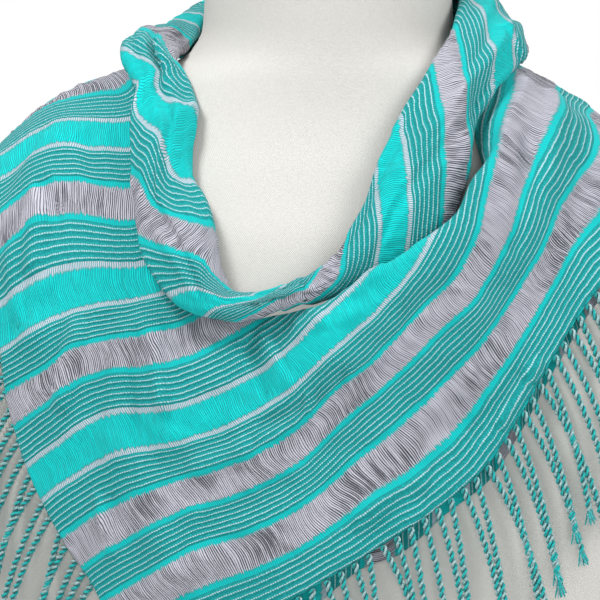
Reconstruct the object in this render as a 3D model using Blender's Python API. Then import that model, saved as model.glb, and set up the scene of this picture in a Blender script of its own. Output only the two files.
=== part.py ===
"""A square striped scarf, folded from corner to corner and wound round a limbless dress form.

The form stands on its flat base with its neck's axis on Z and its front towards -Y. Places on
the form are told by an angle round that axis and a reach, the distance down the form's surface
from the top of the scarf's neck. Tables are in millimetres and degrees, a row for each section.
"""

import math

import bmesh
import bpy
import numpy as np

MM = 0.001

# The cloth
WALL = 1.2
SEAM = 0.4
UNDER_STANDOFF = 1.3
TOP_STANDOFF = 3.8
TAIL_STANDOFF = 8.2
LOOP_WALL = 1.4
LOOP_CLEARANCE = 1.5
LOOP_SEAT = 0.6

# The twisted fringe: strands out of a narrow strip, thicker towards the knot at their end
STRAND_WIDTH = 2.7
STRAND_PITCH = 7.0
STRIP_WIDTH = 3.0
STRAND_CLEARANCE = 0.8
STRAND_RINGS = [
    # distance from the root, width, thickness
    (7, 2.7, 2.5),
    (34, 3.0, 3.0),
    (68, 3.4, 3.4),
]
STRAND_BEND = 8.0
STRAND_DROOP = 0.04
STRAND_SWAY = 0.05
STRAND_SHORTEST = 0.9
STRAND_LONGEST = 1.06

# The form
NECK_TOP = 690.0
REACH_FROM = 640.0
REACH_TO = 290.0

# Where the front was measured from: an eye 1.45 m away, 3 degrees above the level, and a view
# 600 steps wide of 0.46 mm each at the neck's axis, told right of and down from its top left
EYE_DISTANCE = 1450.0
EYE_RISE = math.radians(3.0)
AIM = np.array([-13.0, 0.0, 487.0])
VIEW_STEP = 0.46
VIEW_MIDDLE = 300.0
SIGHT_START = 1370.0
SIGHT_ROUNDS = 60
SIGHT_SHARE = 0.6
SIGHT_SLANT = 0.35

# Sections of the form: height, half width, depth in front, depth behind, squareness
FORM_SECTIONS = [
    # z, half, front, back, power
    (690, 55, 57, 55, 2.0),
    (640, 56, 57, 56, 2.0),
    (612, 57.5, 58, 58, 2.0),
    (600, 64, 59, 64, 2.0),
    (589, 88, 61, 74, 2.0),
    (575, 110, 64, 83, 2.05),
    (561, 132, 69, 89, 2.1),
    (549, 150, 75, 93, 2.15),
    (535, 168, 82, 97, 2.2),
    (518, 182, 91, 101, 2.25),
    (495, 189, 99, 104, 2.3),
    (465, 188, 108, 106, 2.35),
    (430, 180, 114, 104, 2.35),
    (390, 170, 118, 98, 2.3),
    (345, 158, 115, 90, 2.25),
    (290, 140, 102, 82, 2.2),
    (240, 126, 92, 78, 2.2),
    (200, 122, 90, 80, 2.2),
    (150, 134, 94, 92, 2.2),
    (90, 156, 100, 108, 2.2),
    (40, 167, 102, 112, 2.2),
    (0, 168, 102, 110, 2.2),
]

# The loop round the neck: where it turns over at the rim and at the lower fold
LOOP_RIM_SEEN = [
    # right, down, stand-off
    (197, 104, 7),
    (190, 170, 8),
    (205, 200, 9),
    (217, 238, 10),
    (221, 266, 11),
    (234, 293, 12),
    (253, 294, 12),
    (275, 290, 12),
    (300, 281, 12),
    (320, 269, 12),
    (335, 257, 12),
    (348, 235, 12),
    (361, 211, 12),
    (371, 186, 12),
    (380, 158, 12),
    (392, 133, 12),
    (406, 108, 11),
    (421, 85, 10),
    (436, 58, 8),
]
LOOP_RIM_BEHIND = [
    # angle, radius, z
    (0, 61, 629),
    (45, 63, 638),
    (90, 65, 640),
    (135, 62, 632),
    (165, 60.5, 615),
    (182, 61, 604),
    (198, 65, 591),
    (345, 62.5, 624),
]
LOOP_HEM_SEEN = [
    # right, down, stand-off
    (141, 92, 15),
    (135, 120, 15),
    (134, 160, 15),
    (136, 205, 15),
    (145, 258, 14),
    (162, 289, 14),
    (180, 307, 14),
    (202, 315, 14),
    (231, 319, 15),
    (256, 317, 14),
    (282, 311, 12),
    (307, 305, 10),
    (328, 298, 9),
    (360, 288, 8),
    (400, 272, 7),
    (430, 247, 6.5),
    (452, 219, 6.5),
    (464, 185, 7),
    (469, 150, 8),
    (475, 122, 9),
    (487, 102, 9.5),
    (499, 84, 9),
]
LOOP_HEM_BEHIND = [
    # angle, radius, z
    (0, 88, 595),
    (45, 91, 591),
    (90, 93, 588),
    (135, 89, 594),
    (165, 88, 602),
    (180, 89, 601),
    (190, 91, 596),
    (348, 89, 595),
]
RIM_ROLL = 2.6
HEM_ROLL = 4.2
LOOP_LIP = 11.0
LOOP_LIPS_APART = 2.0
LOOP_BULGE = 0.13

# Where the wrap lies below the loop, and where it lies there as two crossed tails
WRAP_BELOW_LOOP = [
    # angle, share
    (0, 1),
    (262, 1),
    (270, 0),
    (334, 0),
    (342, 1),
    (360, 1),
]
TAILS_BELOW_LOOP = [
    # angle, share
    (0, 1),
    (150, 1),
    (180, 0),
    (350, 0),
    (360, 1),
]

# The upper layer's edge by the neck, over the right shoulder: it stands off the form over the loop
FOLD_EDGE_SEEN = [
    # right, down, stand-off
    (276, 325, 2),
    (288, 323, 4),
    (300, 320, 8),
    (313, 316, 12),
    (330, 309, 15),
    (351, 297, 17),
    (371, 281, 18),
    (402, 263, 20),
    (433, 238, 21),
    (457, 218, 20),
    (474, 187, 18),
    (491, 161, 16),
    (507, 119, 10),
    (522, 87, 5),
]
# The rest of that edge lies flat, this far under the loop's lower fold
EDGE_TUCK = [
    # angle, tuck
    (45, 3),
    (240, 3),
    (252, 0),
    (262, -5),
    (342, -1.5),
    (372, -1.5),
    (390, 3),
    (495, 3),
]
# How far the edge turns in, and how much cloth runs on past it
FOLD_EDGE_TURN = [
    # angle, turn, lip
    (135, 0, 5),
    (200, 0, 4),
    (215, 0, 1.5),
    (260, 0, 1),
    (266, 30, 1),
    (272, 140, 2),
    (280, 180, 7),
    (304, 180, 8),
    (312, 150, 4),
    (322, 80, 2),
    (330, 20, 1),
    (370, 0, 1),
    (390, 0, 5),
]
EDGE_ROLL = 3.4
EDGE_FALL = 62.0

# The upper layer's outer edges, where they show from the front, from the low corner outwards
CORNER_SEEN = (122, 680)
LEFT_EDGE_SEEN = [
    # right, down
    (101, 600),
    (63, 539),
    (27, 465),
    (10, 407),
    (2, 350),
    (-5, 300),
]
RIGHT_EDGE_SEEN = [
    # right, down
    (210, 640),
    (300, 595),
    (376, 549),
    (434, 510),
    (484, 468),
    (524, 407),
    (556, 350),
    (600, 285),
]
# Past the shoulders: angle, reach, for the tail that lies below and the one on top
LEFT_TAIL = [
    # angle, reach
    (45, 70),
    (60, 80),
    (75, 93),
    (90, 108),
    (105, 121),
    (120, 133),
    (135, 143),
    (150, 150),
    (165, 154),
    (180, 159),
    (194, 170),
    (201, 180),
]
RIGHT_TAIL = [
    # angle, reach
    (342, 158),
    (352, 146),
    (365, 142),
    (380, 143),
    (395, 142),
    (410, 137),
    (425, 129),
    (440, 118),
    (455, 105),
    (470, 92),
    (485, 79),
    (495, 71),
]
WRAP_START = 45.0
WRAP_END = 495.0
TAIL_RISE_FROM = 378.0
TAIL_RISE_SPAN = 22.0

# How much further the whole cloth stands off where it is bunched: middle angle, spread, reach,
# spread, height
BUNCHES = [
    # angle, wide, reach, deep, height
    (184, 54, 108, 51, 7.0),
    (150, 42, 105, 45, 3.0),
    (262, 32, 200, 64, 2.0),
]

# Main folds of the upper layer: two places on the fold's line, its half width and height
FOLDS_SEEN = [
    # right a, down a, right b, down b, half width, height
    (62, 150, 40, 330, 20, 2.4),
    (147, 335, 168, 430, 18, 2.6),
    (330, 370, 250, 450, 22, 2.4),
    (560, 120, 500, 330, 20, 2.2),
    (470, 330, 380, 440, 24, 2.2),
    (120, 440, 165, 560, 21, 2.0),
]
FOLDS_BEHIND = [
    # angle a, reach a, angle b, reach b, half width, height
    (20, 80, 35, 160, 18, 2.4),
    (58, 72, 48, 140, 18, 2.0),
    (95, 70, 80, 110, 18, 2.2),
    (140, 75, 128, 150, 20, 2.4),
]

# How far the lower layer's border shows past the upper layer's edge
UNDER_PEEP = [
    # angle, peep
    (45, -6.5),
    (215, -6.5),
    (227, -6),
    (231, 2.5),
    (240, 6),
    (250, 9),
    (258, 6),
    (266, 8.5),
    (276, 5),
    (284, 9),
    (294, 5.5),
    (304, 8),
    (318, 5),
    (340, 4),
    (400, 4),
    (495, 3),
]


def smooth_through(keys, values):
    """Return a function that runs smoothly through the rows, with no overshoot between them."""
    keys = np.asarray(keys, float)
    values = np.asarray(values, float)
    steps = np.diff(keys)
    slopes = np.diff(values) / steps
    tangents = np.empty(len(keys))
    tangents[0] = slopes[0]
    tangents[-1] = slopes[-1]
    before = slopes[:-1]
    after = slopes[1:]
    same_way = before * after > 0
    total = np.where(same_way, before + after, 1.0)
    tangents[1:-1] = np.where(same_way, 2 * before * after / total, 0.0)

    def at(key):
        key = np.clip(np.asarray(key, float), keys[0], keys[-1])
        i = np.clip(np.searchsorted(keys, key, side="right") - 1, 0, len(steps) - 1)
        t = (key - keys[i]) / steps[i]
        start = values[i] * (2 * t**3 - 3 * t**2 + 1) + values[i + 1] * (3 * t**2 - 2 * t**3)
        bend = tangents[i] * (t**3 - 2 * t**2 + t) + tangents[i + 1] * (t**3 - t**2)
        return start + bend * steps[i]

    return at


def column(rows, place):
    """One column of a table."""
    return [row[place] for row in rows]


def around(rows, place):
    """A table's column by angle, joined up so that it runs on past a whole turn."""
    rows = sorted(rows)
    angles = column(rows, 0)
    values = column(rows, place)
    keys = [a - 360 for a in angles[-3:]] + angles + [a + 360 for a in angles]
    return smooth_through(keys, values[-3:] + values + values)


half_width = smooth_through(column(FORM_SECTIONS, 0)[::-1], column(FORM_SECTIONS, 1)[::-1])
front_depth = smooth_through(column(FORM_SECTIONS, 0)[::-1], column(FORM_SECTIONS, 2)[::-1])
back_depth = smooth_through(column(FORM_SECTIONS, 0)[::-1], column(FORM_SECTIONS, 3)[::-1])
squareness = smooth_through(column(FORM_SECTIONS, 0)[::-1], column(FORM_SECTIONS, 4)[::-1])


def form_radius(angle, z):
    """The distance from the neck's axis to the form's surface."""
    turn = np.radians(angle)
    depth = np.where(np.sin(turn) < 0, front_depth(z), back_depth(z))
    power = squareness(z)
    across = np.abs(np.cos(turn) / half_width(z)) ** power
    along = np.abs(np.sin(turn) / depth) ** power
    return (across + along) ** (-1 / power)


def form_normal(angle, z):
    """The outward direction of the form's surface, as x, y, z."""
    radius = form_radius(angle, z)
    slope = (form_radius(angle, z + 2) - form_radius(angle, z - 2)) / 4
    swing = (form_radius(angle + 1, z) - form_radius(angle - 1, z)) / np.radians(2)
    turn = np.radians(angle)
    out = np.stack([np.cos(turn), np.sin(turn)], -1)
    side = np.stack([-np.sin(turn), np.cos(turn)], -1)
    flat = out - (swing / radius)[..., None] * side
    normal = np.concatenate([flat, -slope[..., None] * np.ones_like(flat[..., :1])], -1)
    return normal / np.linalg.norm(normal, axis=-1, keepdims=True)


def place_at(angle, radius, z):
    """The point at an angle, a radius and a height."""
    turn = np.radians(angle)
    return np.stack([radius * np.cos(turn), radius * np.sin(turn), z + 0 * radius], -1)


PROFILE_Z = np.linspace(REACH_FROM, REACH_TO, 351)


def profile_reach(angle):
    """The reach of each height in PROFILE_Z, down the form's surface at one angle."""
    radius = form_radius(np.full(PROFILE_Z.shape, float(angle)), PROFILE_Z)
    steps = np.hypot(np.diff(radius), np.diff(PROFILE_Z))
    return np.concatenate([[0.0], np.cumsum(steps)])


def height_at(angle, reach):
    """The height of a reach at one angle."""
    return np.interp(reach, profile_reach(angle), PROFILE_Z)


def reach_at(angle, z):
    """The reach of a height at one angle."""
    return float(np.interp(-z, -PROFILE_Z, profile_reach(angle)))


def reach_below(angle, radius, z):
    """The reach of the form's nearest place to a point that stands off it at one angle."""
    profile = form_radius(np.full(PROFILE_Z.shape, float(angle)), PROFILE_Z)
    nearest = np.argmin(np.hypot(profile - radius, PROFILE_Z - z))
    return profile_reach(angle)[nearest]


def standing_off(angles, z):
    """The points of the form's surface at these angles and heights, and its outward directions."""
    points = place_at(angles, form_radius(angles, z), z)
    return points, form_normal(angles, z)


def seen(right, down, standoff):
    """The angle and reach of what stands off the form by standoff, seen at a step of the view."""
    across = (right - VIEW_MIDDLE) * VIEW_STEP / EYE_DISTANCE
    up = (VIEW_MIDDLE - down) * VIEW_STEP / EYE_DISTANCE
    sine = math.sin(EYE_RISE)
    cosine = math.cos(EYE_RISE)
    eye = AIM + EYE_DISTANCE * np.array([0.0, -cosine, sine])
    ray = np.array([across, cosine + up * sine, up * cosine - sine])
    gone = SIGHT_START
    for _ in range(SIGHT_ROUNDS):
        point = eye + ray * gone
        angle = math.degrees(math.atan2(point[1], point[0])) % 360
        normal = form_normal(np.float64(angle), np.float64(point[2]))
        radius = math.hypot(point[0], point[1])
        level = math.hypot(normal[0], normal[1])
        away = (radius - form_radius(np.float64(angle), np.float64(point[2]))) * level
        gone += SIGHT_SHARE * (away - standoff) / max(SIGHT_SLANT, abs(normal[1]))
    foot = point - standoff * normal
    angle = math.degrees(math.atan2(foot[1], foot[0])) % 360
    return angle, reach_at(angle, foot[2])


def seen_point(right, down, standoff):
    """The angle, radius and height of what is seen at a step of the view, off the form."""
    angle, reach = seen(right, down, standoff)
    foot, normal = standing_off(np.float64(angle), np.float64(height_at(angle, reach)))
    point = foot + normal * standoff
    turned = math.degrees(math.atan2(point[1], point[0])) % 360
    return turned, math.hypot(point[0], point[1]), point[2]


def bump(distance):
    """A round bump, 1 in its middle and 0 from 1 outwards."""
    inside = np.clip(1 - np.asarray(distance) ** 2, 0, 1)
    return inside**2


def unrolled(angle, reach):
    """The form's surface laid out flat round the neck."""
    turn = np.radians(angle)
    return np.stack([(reach + 30) * np.cos(turn), (reach + 30) * np.sin(turn)], -1)


def ease(t):
    """0 to 1 with level ends."""
    t = np.clip(t, 0, 1)
    return t * t * (3 - 2 * t)


def loop_rows(seen_rows, behind_rows):
    """The loop's rim or lower fold all the way round: angle, radius, height."""
    return sorted([seen_point(*row) for row in seen_rows] + behind_rows)


class Wrap:
    """The cloth over the chest, shoulders and back, as angles and reaches."""

    def __init__(self):
        seen_edge = [seen(*row) + (row[2],) for row in FOLD_EDGE_SEEN]
        hem_rows = loop_rows(LOOP_HEM_SEEN, LOOP_HEM_BEHIND)
        hem_radius, hem_z = around(hem_rows, 1), around(hem_rows, 2)
        tuck = smooth_through(column(EDGE_TUCK, 0), column(EDGE_TUCK, 1))
        hidden = []
        behind = list(range(45, 258, 8)) + list(range(346, 496, 8))
        for angle in behind:
            turn = angle % 360
            reach = reach_below(turn, hem_radius(turn), hem_z(turn))
            hidden.append((angle, reach - float(tuck(angle)), 0.0))
        rows = sorted(hidden + seen_edge)
        self.edge_reach = smooth_through(column(rows, 0), column(rows, 1))
        self.edge_height = smooth_through(column(rows, 0), column(rows, 2))
        self.corner = seen(*CORNER_SEEN, TOP_STANDOFF)
        left_edge = [seen(*row, TOP_STANDOFF) for row in LEFT_EDGE_SEEN]
        left_rows = sorted(LEFT_TAIL + left_edge + [self.corner])
        right_edge = [seen(*row, TOP_STANDOFF) for row in RIGHT_EDGE_SEEN]
        right_rows = [self.corner] + sorted(right_edge + RIGHT_TAIL)
        self.left_hem = smooth_through(column(left_rows, 0), column(left_rows, 1))
        self.right_hem = smooth_through(column(right_rows, 0), column(right_rows, 1))
        self.turn = smooth_through(column(FOLD_EDGE_TURN, 0), column(FOLD_EDGE_TURN, 1))
        self.lip = smooth_through(column(FOLD_EDGE_TURN, 0), column(FOLD_EDGE_TURN, 2))
        self.peep = smooth_through(column(UNDER_PEEP, 0), column(UNDER_PEEP, 1))
        self.folds = []
        for right_a, down_a, right_b, down_b, half, height in FOLDS_SEEN:
            ends = (seen(right_a, down_a, TOP_STANDOFF), seen(right_b, down_b, TOP_STANDOFF))
            self.folds.append((ends, half, height))
        for angle_a, reach_a, angle_b, reach_b, half, height in FOLDS_BEHIND:
            self.folds.append((((angle_a, reach_a), (angle_b, reach_b)), half, height))

    def hem_reach(self, angle):
        """The reach of the upper layer's outer edge."""
        angle = np.asarray(angle, float)
        return np.where(angle < self.corner[0], self.left_hem(angle), self.right_hem(angle))

    def lift(self, angle, reach):
        """How much further than its standoff the cloth stands off: bunches, folds, fold edge."""
        turn = angle % 360
        lift = np.zeros(np.broadcast(angle, reach).shape)
        for middle, wide, depth, deep, height in BUNCHES:
            lift = lift + height * bump(np.hypot((turn - middle) / wide, (reach - depth) / deep))
        flat = unrolled(angle, reach)
        for ends, half, height in self.folds:
            start = unrolled(*ends[0])
            along = unrolled(*ends[1]) - start
            length = np.linalg.norm(along)
            along = along / length
            run = (flat - start) @ along
            side = (flat - start) @ np.array([-along[1], along[0]])
            past = np.maximum(0, np.maximum(-run, run - length))
            lift = lift + height * bump(np.hypot(side, past) / half)
        fall = 1 - ease((reach - self.edge_reach(angle)) / EDGE_FALL)
        return lift + self.edge_height(angle) * fall

    def layer(self, angle, standoff):
        """The standoff of a layer, raised where the right tail crosses over the left one."""
        rise = ease((angle - TAIL_RISE_FROM) / TAIL_RISE_SPAN)
        return standoff + (TAIL_STANDOFF - TOP_STANDOFF) * rise


def closed_wall(name, inner, outer, closed=False):
    """Make one solid between two grids of points; closed joins the last column to the first."""
    columns, rows = inner.shape[:2]
    mesh = bmesh.new()
    below = [[mesh.verts.new(point * MM) for point in line] for line in inner]
    above = [[mesh.verts.new(point * MM) for point in line] for line in outer]
    last = columns if closed else columns - 1
    for i in range(last):
        n = (i + 1) % columns
        for j in range(rows - 1):
            mesh.faces.new((above[i][j], above[n][j], above[n][j + 1], above[i][j + 1]))
            mesh.faces.new((below[i][j + 1], below[n][j + 1], below[n][j], below[i][j]))
        mesh.faces.new((below[i][0], below[n][0], above[n][0], above[i][0]))
        mesh.faces.new((above[i][-1], above[n][-1], below[n][-1], below[i][-1]))
    if not closed:
        for j in range(rows - 1):
            mesh.faces.new((below[0][j], above[0][j], above[0][j + 1], below[0][j + 1]))
            mesh.faces.new((above[-1][j], below[-1][j], below[-1][j + 1], above[-1][j + 1]))
    return finish_mesh(name, mesh)


def finish_mesh(name, mesh):
    """Turn a bmesh into an object with its faces outwards and shaded smooth."""
    bmesh.ops.recalc_face_normals(mesh, faces=mesh.faces)
    data = bpy.data.meshes.new(name)
    mesh.to_mesh(data)
    mesh.free()
    data.shade_smooth()
    obj = bpy.data.objects.new(name, data)
    bpy.context.scene.collection.objects.link(obj)
    return obj


def material(name, colour, roughness):
    """A Principled material."""
    made = bpy.data.materials.new(name)
    made.use_nodes = True
    shader = made.node_tree.nodes["Principled BSDF"]
    shader.inputs["Base Color"].default_value = (*colour, 1.0)
    shader.inputs["Roughness"].default_value = roughness
    shader.inputs["Metallic"].default_value = 0.0
    return made


def dress(obj, finish):
    """Give an object its material."""
    obj.data.materials.append(finish)


FORM_COLUMNS = 36
FORM_HEIGHTS = [0, 30, 90, 150, 205, 260, 310, 350, 390, 425, 460, 490, 512, 530]
FORM_HEIGHTS += [545, 557, 567, 577, 586, 594, 601, 612, 640, 684, 690]
FORM_EDGE = 5.0


def make_form():
    """The limbless form, a solid of stacked sections with a flat base and a flat neck top."""
    mesh = bmesh.new()
    angles = np.arange(FORM_COLUMNS) * 360 / FORM_COLUMNS
    rings = []
    for z in FORM_HEIGHTS:
        inset = FORM_EDGE if z in (0, NECK_TOP) else 0.0
        radius = form_radius(angles, np.full(angles.shape, float(z))) - inset
        ring = place_at(angles, radius, float(z))
        rings.append([mesh.verts.new(point * MM) for point in ring])
    for lower, upper in zip(rings, rings[1:]):
        for i in range(FORM_COLUMNS):
            n = (i + 1) % FORM_COLUMNS
            mesh.faces.new((lower[i], lower[n], upper[n], upper[i]))
    mesh.faces.new(rings[0][::-1])
    mesh.faces.new(rings[-1])
    return finish_mesh("dress_form", mesh)


LOOP_COLUMNS = 48
LOOP_FACE_ROWS = 6
LOOP_EASE_BEFORE = 12.0
LOOP_EASE_SPAN = 5.0


def loop_section(rim, hem):
    """The loop's middle line in section, as radius and height, and its outward directions."""
    length = np.linalg.norm(hem - rim)
    down = (hem - rim) / length
    out = np.array([-down[1], down[0]])
    width = length - RIM_ROLL - HEM_ROLL
    lip = min(LOOP_LIP, (width - LOOP_LIPS_APART) / 2)
    bulge = LOOP_BULGE * length
    line = []
    aim = []
    for distance in (lip, 0):
        line.append(rim + down * (RIM_ROLL + distance) - out * RIM_ROLL)
        aim.append(-out)
    for turn in np.radians([-45, 0, 45]):
        way = -down * math.cos(turn) + out * math.sin(turn)
        line.append(rim + down * RIM_ROLL + way * RIM_ROLL)
        aim.append(way)
    for t in np.linspace(0, 1, LOOP_FACE_ROWS):
        roll = RIM_ROLL + (HEM_ROLL - RIM_ROLL) * t
        swell = bulge * math.sin(math.pi * t)
        line.append(rim + down * (RIM_ROLL + width * t) + out * (roll + swell))
        way = out - down * bulge * math.pi * math.cos(math.pi * t) / length
        aim.append(way / np.linalg.norm(way))
    for turn in np.radians([45, 0, -45]):
        way = down * math.cos(turn) + out * math.sin(turn)
        line.append(hem - down * HEM_ROLL + way * HEM_ROLL)
        aim.append(way)
    for distance in (0, lip):
        line.append(hem - down * (HEM_ROLL + distance) - out * HEM_ROLL)
        aim.append(-out)
    return np.array(line), np.array(aim)


def loop_wall():
    """The loop's inner and outer points: a flattened roll that is open towards the body."""
    rim_rows = loop_rows(LOOP_RIM_SEEN, LOOP_RIM_BEHIND)
    hem_rows = loop_rows(LOOP_HEM_SEEN, LOOP_HEM_BEHIND)
    angles = np.arange(LOOP_COLUMNS) * 360.0 / LOOP_COLUMNS
    rims = np.stack([around(rim_rows, 1)(angles), around(rim_rows, 2)(angles)], -1)
    hems = np.stack([around(hem_rows, 1)(angles), around(hem_rows, 2)(angles)], -1)
    sections = [loop_section(rim, hem) for rim, hem in zip(rims, hems)]
    line = np.array([section[0] for section in sections])
    aim = np.array([section[1] for section in sections])
    walls = []
    for side in (-LOOP_WALL / 2, LOOP_WALL / 2):
        place = line + aim * side
        angle = np.broadcast_to(angles[:, None], place.shape[:2])
        walls.append(place_at(angle, place[..., 0], place[..., 1]))
    return walls


def kept_off(points, clearance):
    """Move points outwards until they stand off the form by their clearance."""
    points = points.copy()
    for _ in range(4):
        angle = np.degrees(np.arctan2(points[..., 1], points[..., 0]))
        normal = form_normal(angle, points[..., 2])
        level = np.hypot(normal[..., 0], normal[..., 1])
        radius = np.hypot(points[..., 0], points[..., 1])
        away = (radius - form_radius(angle, points[..., 2])) * level
        points += normal * np.maximum(0, clearance - away)[..., None]
    return points


def loop_clearance(wrap, points):
    """How far each of the loop's points keeps off the form: over the wrap, where that is below."""
    angle = np.degrees(np.arctan2(points[..., 1], points[..., 0])) % 360
    radius = np.hypot(points[..., 0], points[..., 1])
    places = zip(angle.ravel(), radius.ravel(), points[..., 2].ravel())
    reach = np.array([reach_below(*place) for place in places]).reshape(angle.shape)
    below = smooth_through(column(WRAP_BELOW_LOOP, 0), column(WRAP_BELOW_LOOP, 1))(angle)
    crossed = smooth_through(column(TAILS_BELOW_LOOP, 0), column(TAILS_BELOW_LOOP, 1))(angle)
    layers = TOP_STANDOFF + (TAIL_STANDOFF - TOP_STANDOFF) * crossed
    wrap_angle = np.where(angle < WRAP_END - 360, angle + 360, angle)
    start = wrap.edge_reach(wrap_angle) - LOOP_EASE_BEFORE
    on_wrap = ease((reach - start) / LOOP_EASE_SPAN)
    raised = layers + WALL + LOOP_SEAT + wrap.lift(wrap_angle, reach)
    return LOOP_CLEARANCE + below * on_wrap * raised


def make_loop(wrap):
    """The stretch wound round the neck, moved out as a whole wall where it would touch."""
    inner, outer = loop_wall()
    shift_in = kept_off(inner, loop_clearance(wrap, inner)) - inner
    shift_out = kept_off(outer, loop_clearance(wrap, outer)) - outer
    further_out = np.linalg.norm(shift_out, axis=-1) > np.linalg.norm(shift_in, axis=-1)
    shift = np.where(further_out[..., None], shift_out, shift_in)
    return closed_wall("neck_loop", inner + shift, outer + shift, closed=True)


WRAP_ROWS = 9
BORDER_ROWS = 4
LIP_ROWS = 4
LIP_ROWS_KEPT = (8, 6, 4, 3, 2, 1, 0)
LIP_LEAST_TURN = 0.5
COLUMN_STEP = 14.4
FORM_LEAN = 0.35


def wrap_angles(wrap):
    """The angles of the cloth's columns, a step apart along its outer edge, one at the corner."""
    fine = np.linspace(WRAP_START, WRAP_END, 901)
    z = np.array([height_at(a, r) for a, r in zip(fine, wrap.hem_reach(fine))])
    edge = place_at(fine, form_radius(fine, z), z)
    length = np.concatenate([[0], np.cumsum(np.linalg.norm(np.diff(edge, axis=0), axis=1))])
    middle = np.interp(wrap.corner[0], fine, length)
    before = np.linspace(0, middle, round(middle / COLUMN_STEP) + 1)
    after = np.linspace(middle, length[-1], round((length[-1] - middle) / COLUMN_STEP) + 1)
    return np.interp(np.concatenate([before, after[1:]]), length, fine)


def wrap_grid(wrap, angles, standoff):
    """Points and outward directions of the cloth, in rows from the neck edge to the outer edge."""
    shares = np.linspace(0, 1, WRAP_ROWS)
    points = []
    normals = []
    for angle in angles:
        start = float(wrap.edge_reach(angle))
        end = float(wrap.hem_reach(angle))
        reach = start + (end - start) * shares
        z = height_at(angle, reach)
        column_angles = np.full(reach.shape, angle)
        foot, normal = standing_off(column_angles, z)
        height = wrap.layer(angle, standoff) + wrap.lift(column_angles, reach)
        points.append(foot + normal * height[:, None])
        normals.append(normal)
    points = np.array(points)
    return points, true_normals(points, np.array(normals))


def true_normals(points, rough):
    """The outward directions of a grid of points, leaning a little to the rough ones."""
    across = np.gradient(points, axis=0)
    along = np.gradient(points, axis=1)
    normals = np.cross(across, along)
    normals /= np.maximum(np.linalg.norm(normals, axis=-1, keepdims=True), 1e-9)
    facing = np.sign((normals * rough).sum(-1, keepdims=True))
    normals = normals * facing + FORM_LEAN * rough
    return normals / np.linalg.norm(normals, axis=-1, keepdims=True)


def with_lip(wrap, angles, points, normals):
    """Add the rows that run on past the neck edge, flat under the loop or rolled inwards."""
    here = points[:, 0]
    up = here - points[:, 1]
    up /= np.linalg.norm(up, axis=1, keepdims=True)
    out = normals[:, 0]
    turn_end = np.radians(wrap.turn(angles))[:, None]
    arc = EDGE_ROLL * np.maximum(turn_end, LIP_LEAST_TURN)
    lip = wrap.lip(angles)[:, None]
    rows = [here]
    ways = [out]
    for k in range(2 * LIP_ROWS):
        length = (arc if k < LIP_ROWS else lip) / LIP_ROWS
        turned = turn_end * min(1.0, (k + 0.5) / LIP_ROWS)
        here = here + length * (up * np.cos(turned) - out * np.sin(turned))
        rows.append(here)
        turned = turn_end * min(1.0, (k + 1) / LIP_ROWS)
        ways.append(out * np.cos(turned) + up * np.sin(turned))
    rows = np.stack([rows[k] for k in LIP_ROWS_KEPT], axis=1)
    ways = np.stack([ways[k] for k in LIP_ROWS_KEPT], axis=1)
    return np.concatenate([rows, points[:, 1:]], 1), np.concatenate([ways, normals[:, 1:]], 1)


def make_top(wrap, angles):
    """The upper layer."""
    points, normals = wrap_grid(wrap, angles, TOP_STANDOFF)
    points, normals = with_lip(wrap, angles, points, normals)
    return closed_wall("top_fold", points, points + normals * WALL)


def hem_frame(edge, inward, normal):
    """An edge with its outward directions and its ways out past the cloth."""
    along = np.gradient(edge, axis=0)
    way = np.cross(normal, along)
    way /= np.linalg.norm(way, axis=1, keepdims=True)
    way *= -np.sign((way * inward).sum(1, keepdims=True))
    return edge, normal, way


def upper_hem(wrap, angles):
    """The outer edge of the upper layer."""
    points, normals = wrap_grid(wrap, angles, TOP_STANDOFF)
    return hem_frame(points[:, -1], points[:, -2] - points[:, -1], normals[:, -1])


def lower_border(wrap, angles):
    """The lower layer's border: the upper layer's own rows, moved in and past its edge."""
    points, normals = wrap_grid(wrap, angles, UNDER_STANDOFF)
    out = points[:, -1] - points[:, -2]
    out /= np.linalg.norm(out, axis=1, keepdims=True)
    points = points[:, -BORDER_ROWS:].copy()
    points[:, -1] = kept_off(points[:, -1] + out * wrap.peep(angles)[:, None], UNDER_STANDOFF)
    return points, normals[:, -BORDER_ROWS:]


def make_under(wrap, angles):
    """The border of the lower layer."""
    points, normals = lower_border(wrap, angles)
    return closed_wall("under_fold", points, points + normals * WALL)


def lower_hem(wrap, angles):
    """The outer edge of the lower layer."""
    points, normals = lower_border(wrap, angles)
    return hem_frame(points[:, -1], points[:, 0] - points[:, -1], normals[:, -1])


class Hang:
    """How a fringe falls: its pull down, and how far its strands keep off the form."""

    def __init__(self, gravity, first_rise, over_tail):
        self.gravity = gravity
        self.first_rise = first_rise
        self.over_tail = over_tail

    def clearance(self, distance, angle):
        """What a strand keeps off the form at a distance from its root and an angle."""
        if distance <= STRAND_RINGS[0][0]:
            return self.first_rise
        if not OTHER_TAIL_FROM < angle < OTHER_TAIL_TO:
            return STRAND_CLEARANCE
        return STRAND_CLEARANCE + self.over_tail * ease((OTHER_TAIL_TO - angle) / OTHER_TAIL_EASE)


def fringe_marks(edge):
    """Where each strand's two sides leave the strip, as distances along the edge."""
    total = np.linalg.norm(np.diff(edge, axis=0), axis=1).sum()
    count = int((total - STRIP_INSET) / STRAND_PITCH)
    middles = total / 2 + (np.arange(count) - (count - 1) / 2) * STRAND_PITCH
    return np.stack([middles - STRAND_WIDTH / 2, middles + STRAND_WIDTH / 2], -1).ravel()


def rows_at(marks, edge, rows):
    """Rows that go with the edge's points, read at distances along that edge."""
    length = np.concatenate([[0], np.cumsum(np.linalg.norm(np.diff(edge, axis=0), axis=1))])
    return np.stack([np.interp(marks, length, rows[:, k]) for k in range(3)], -1)


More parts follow.
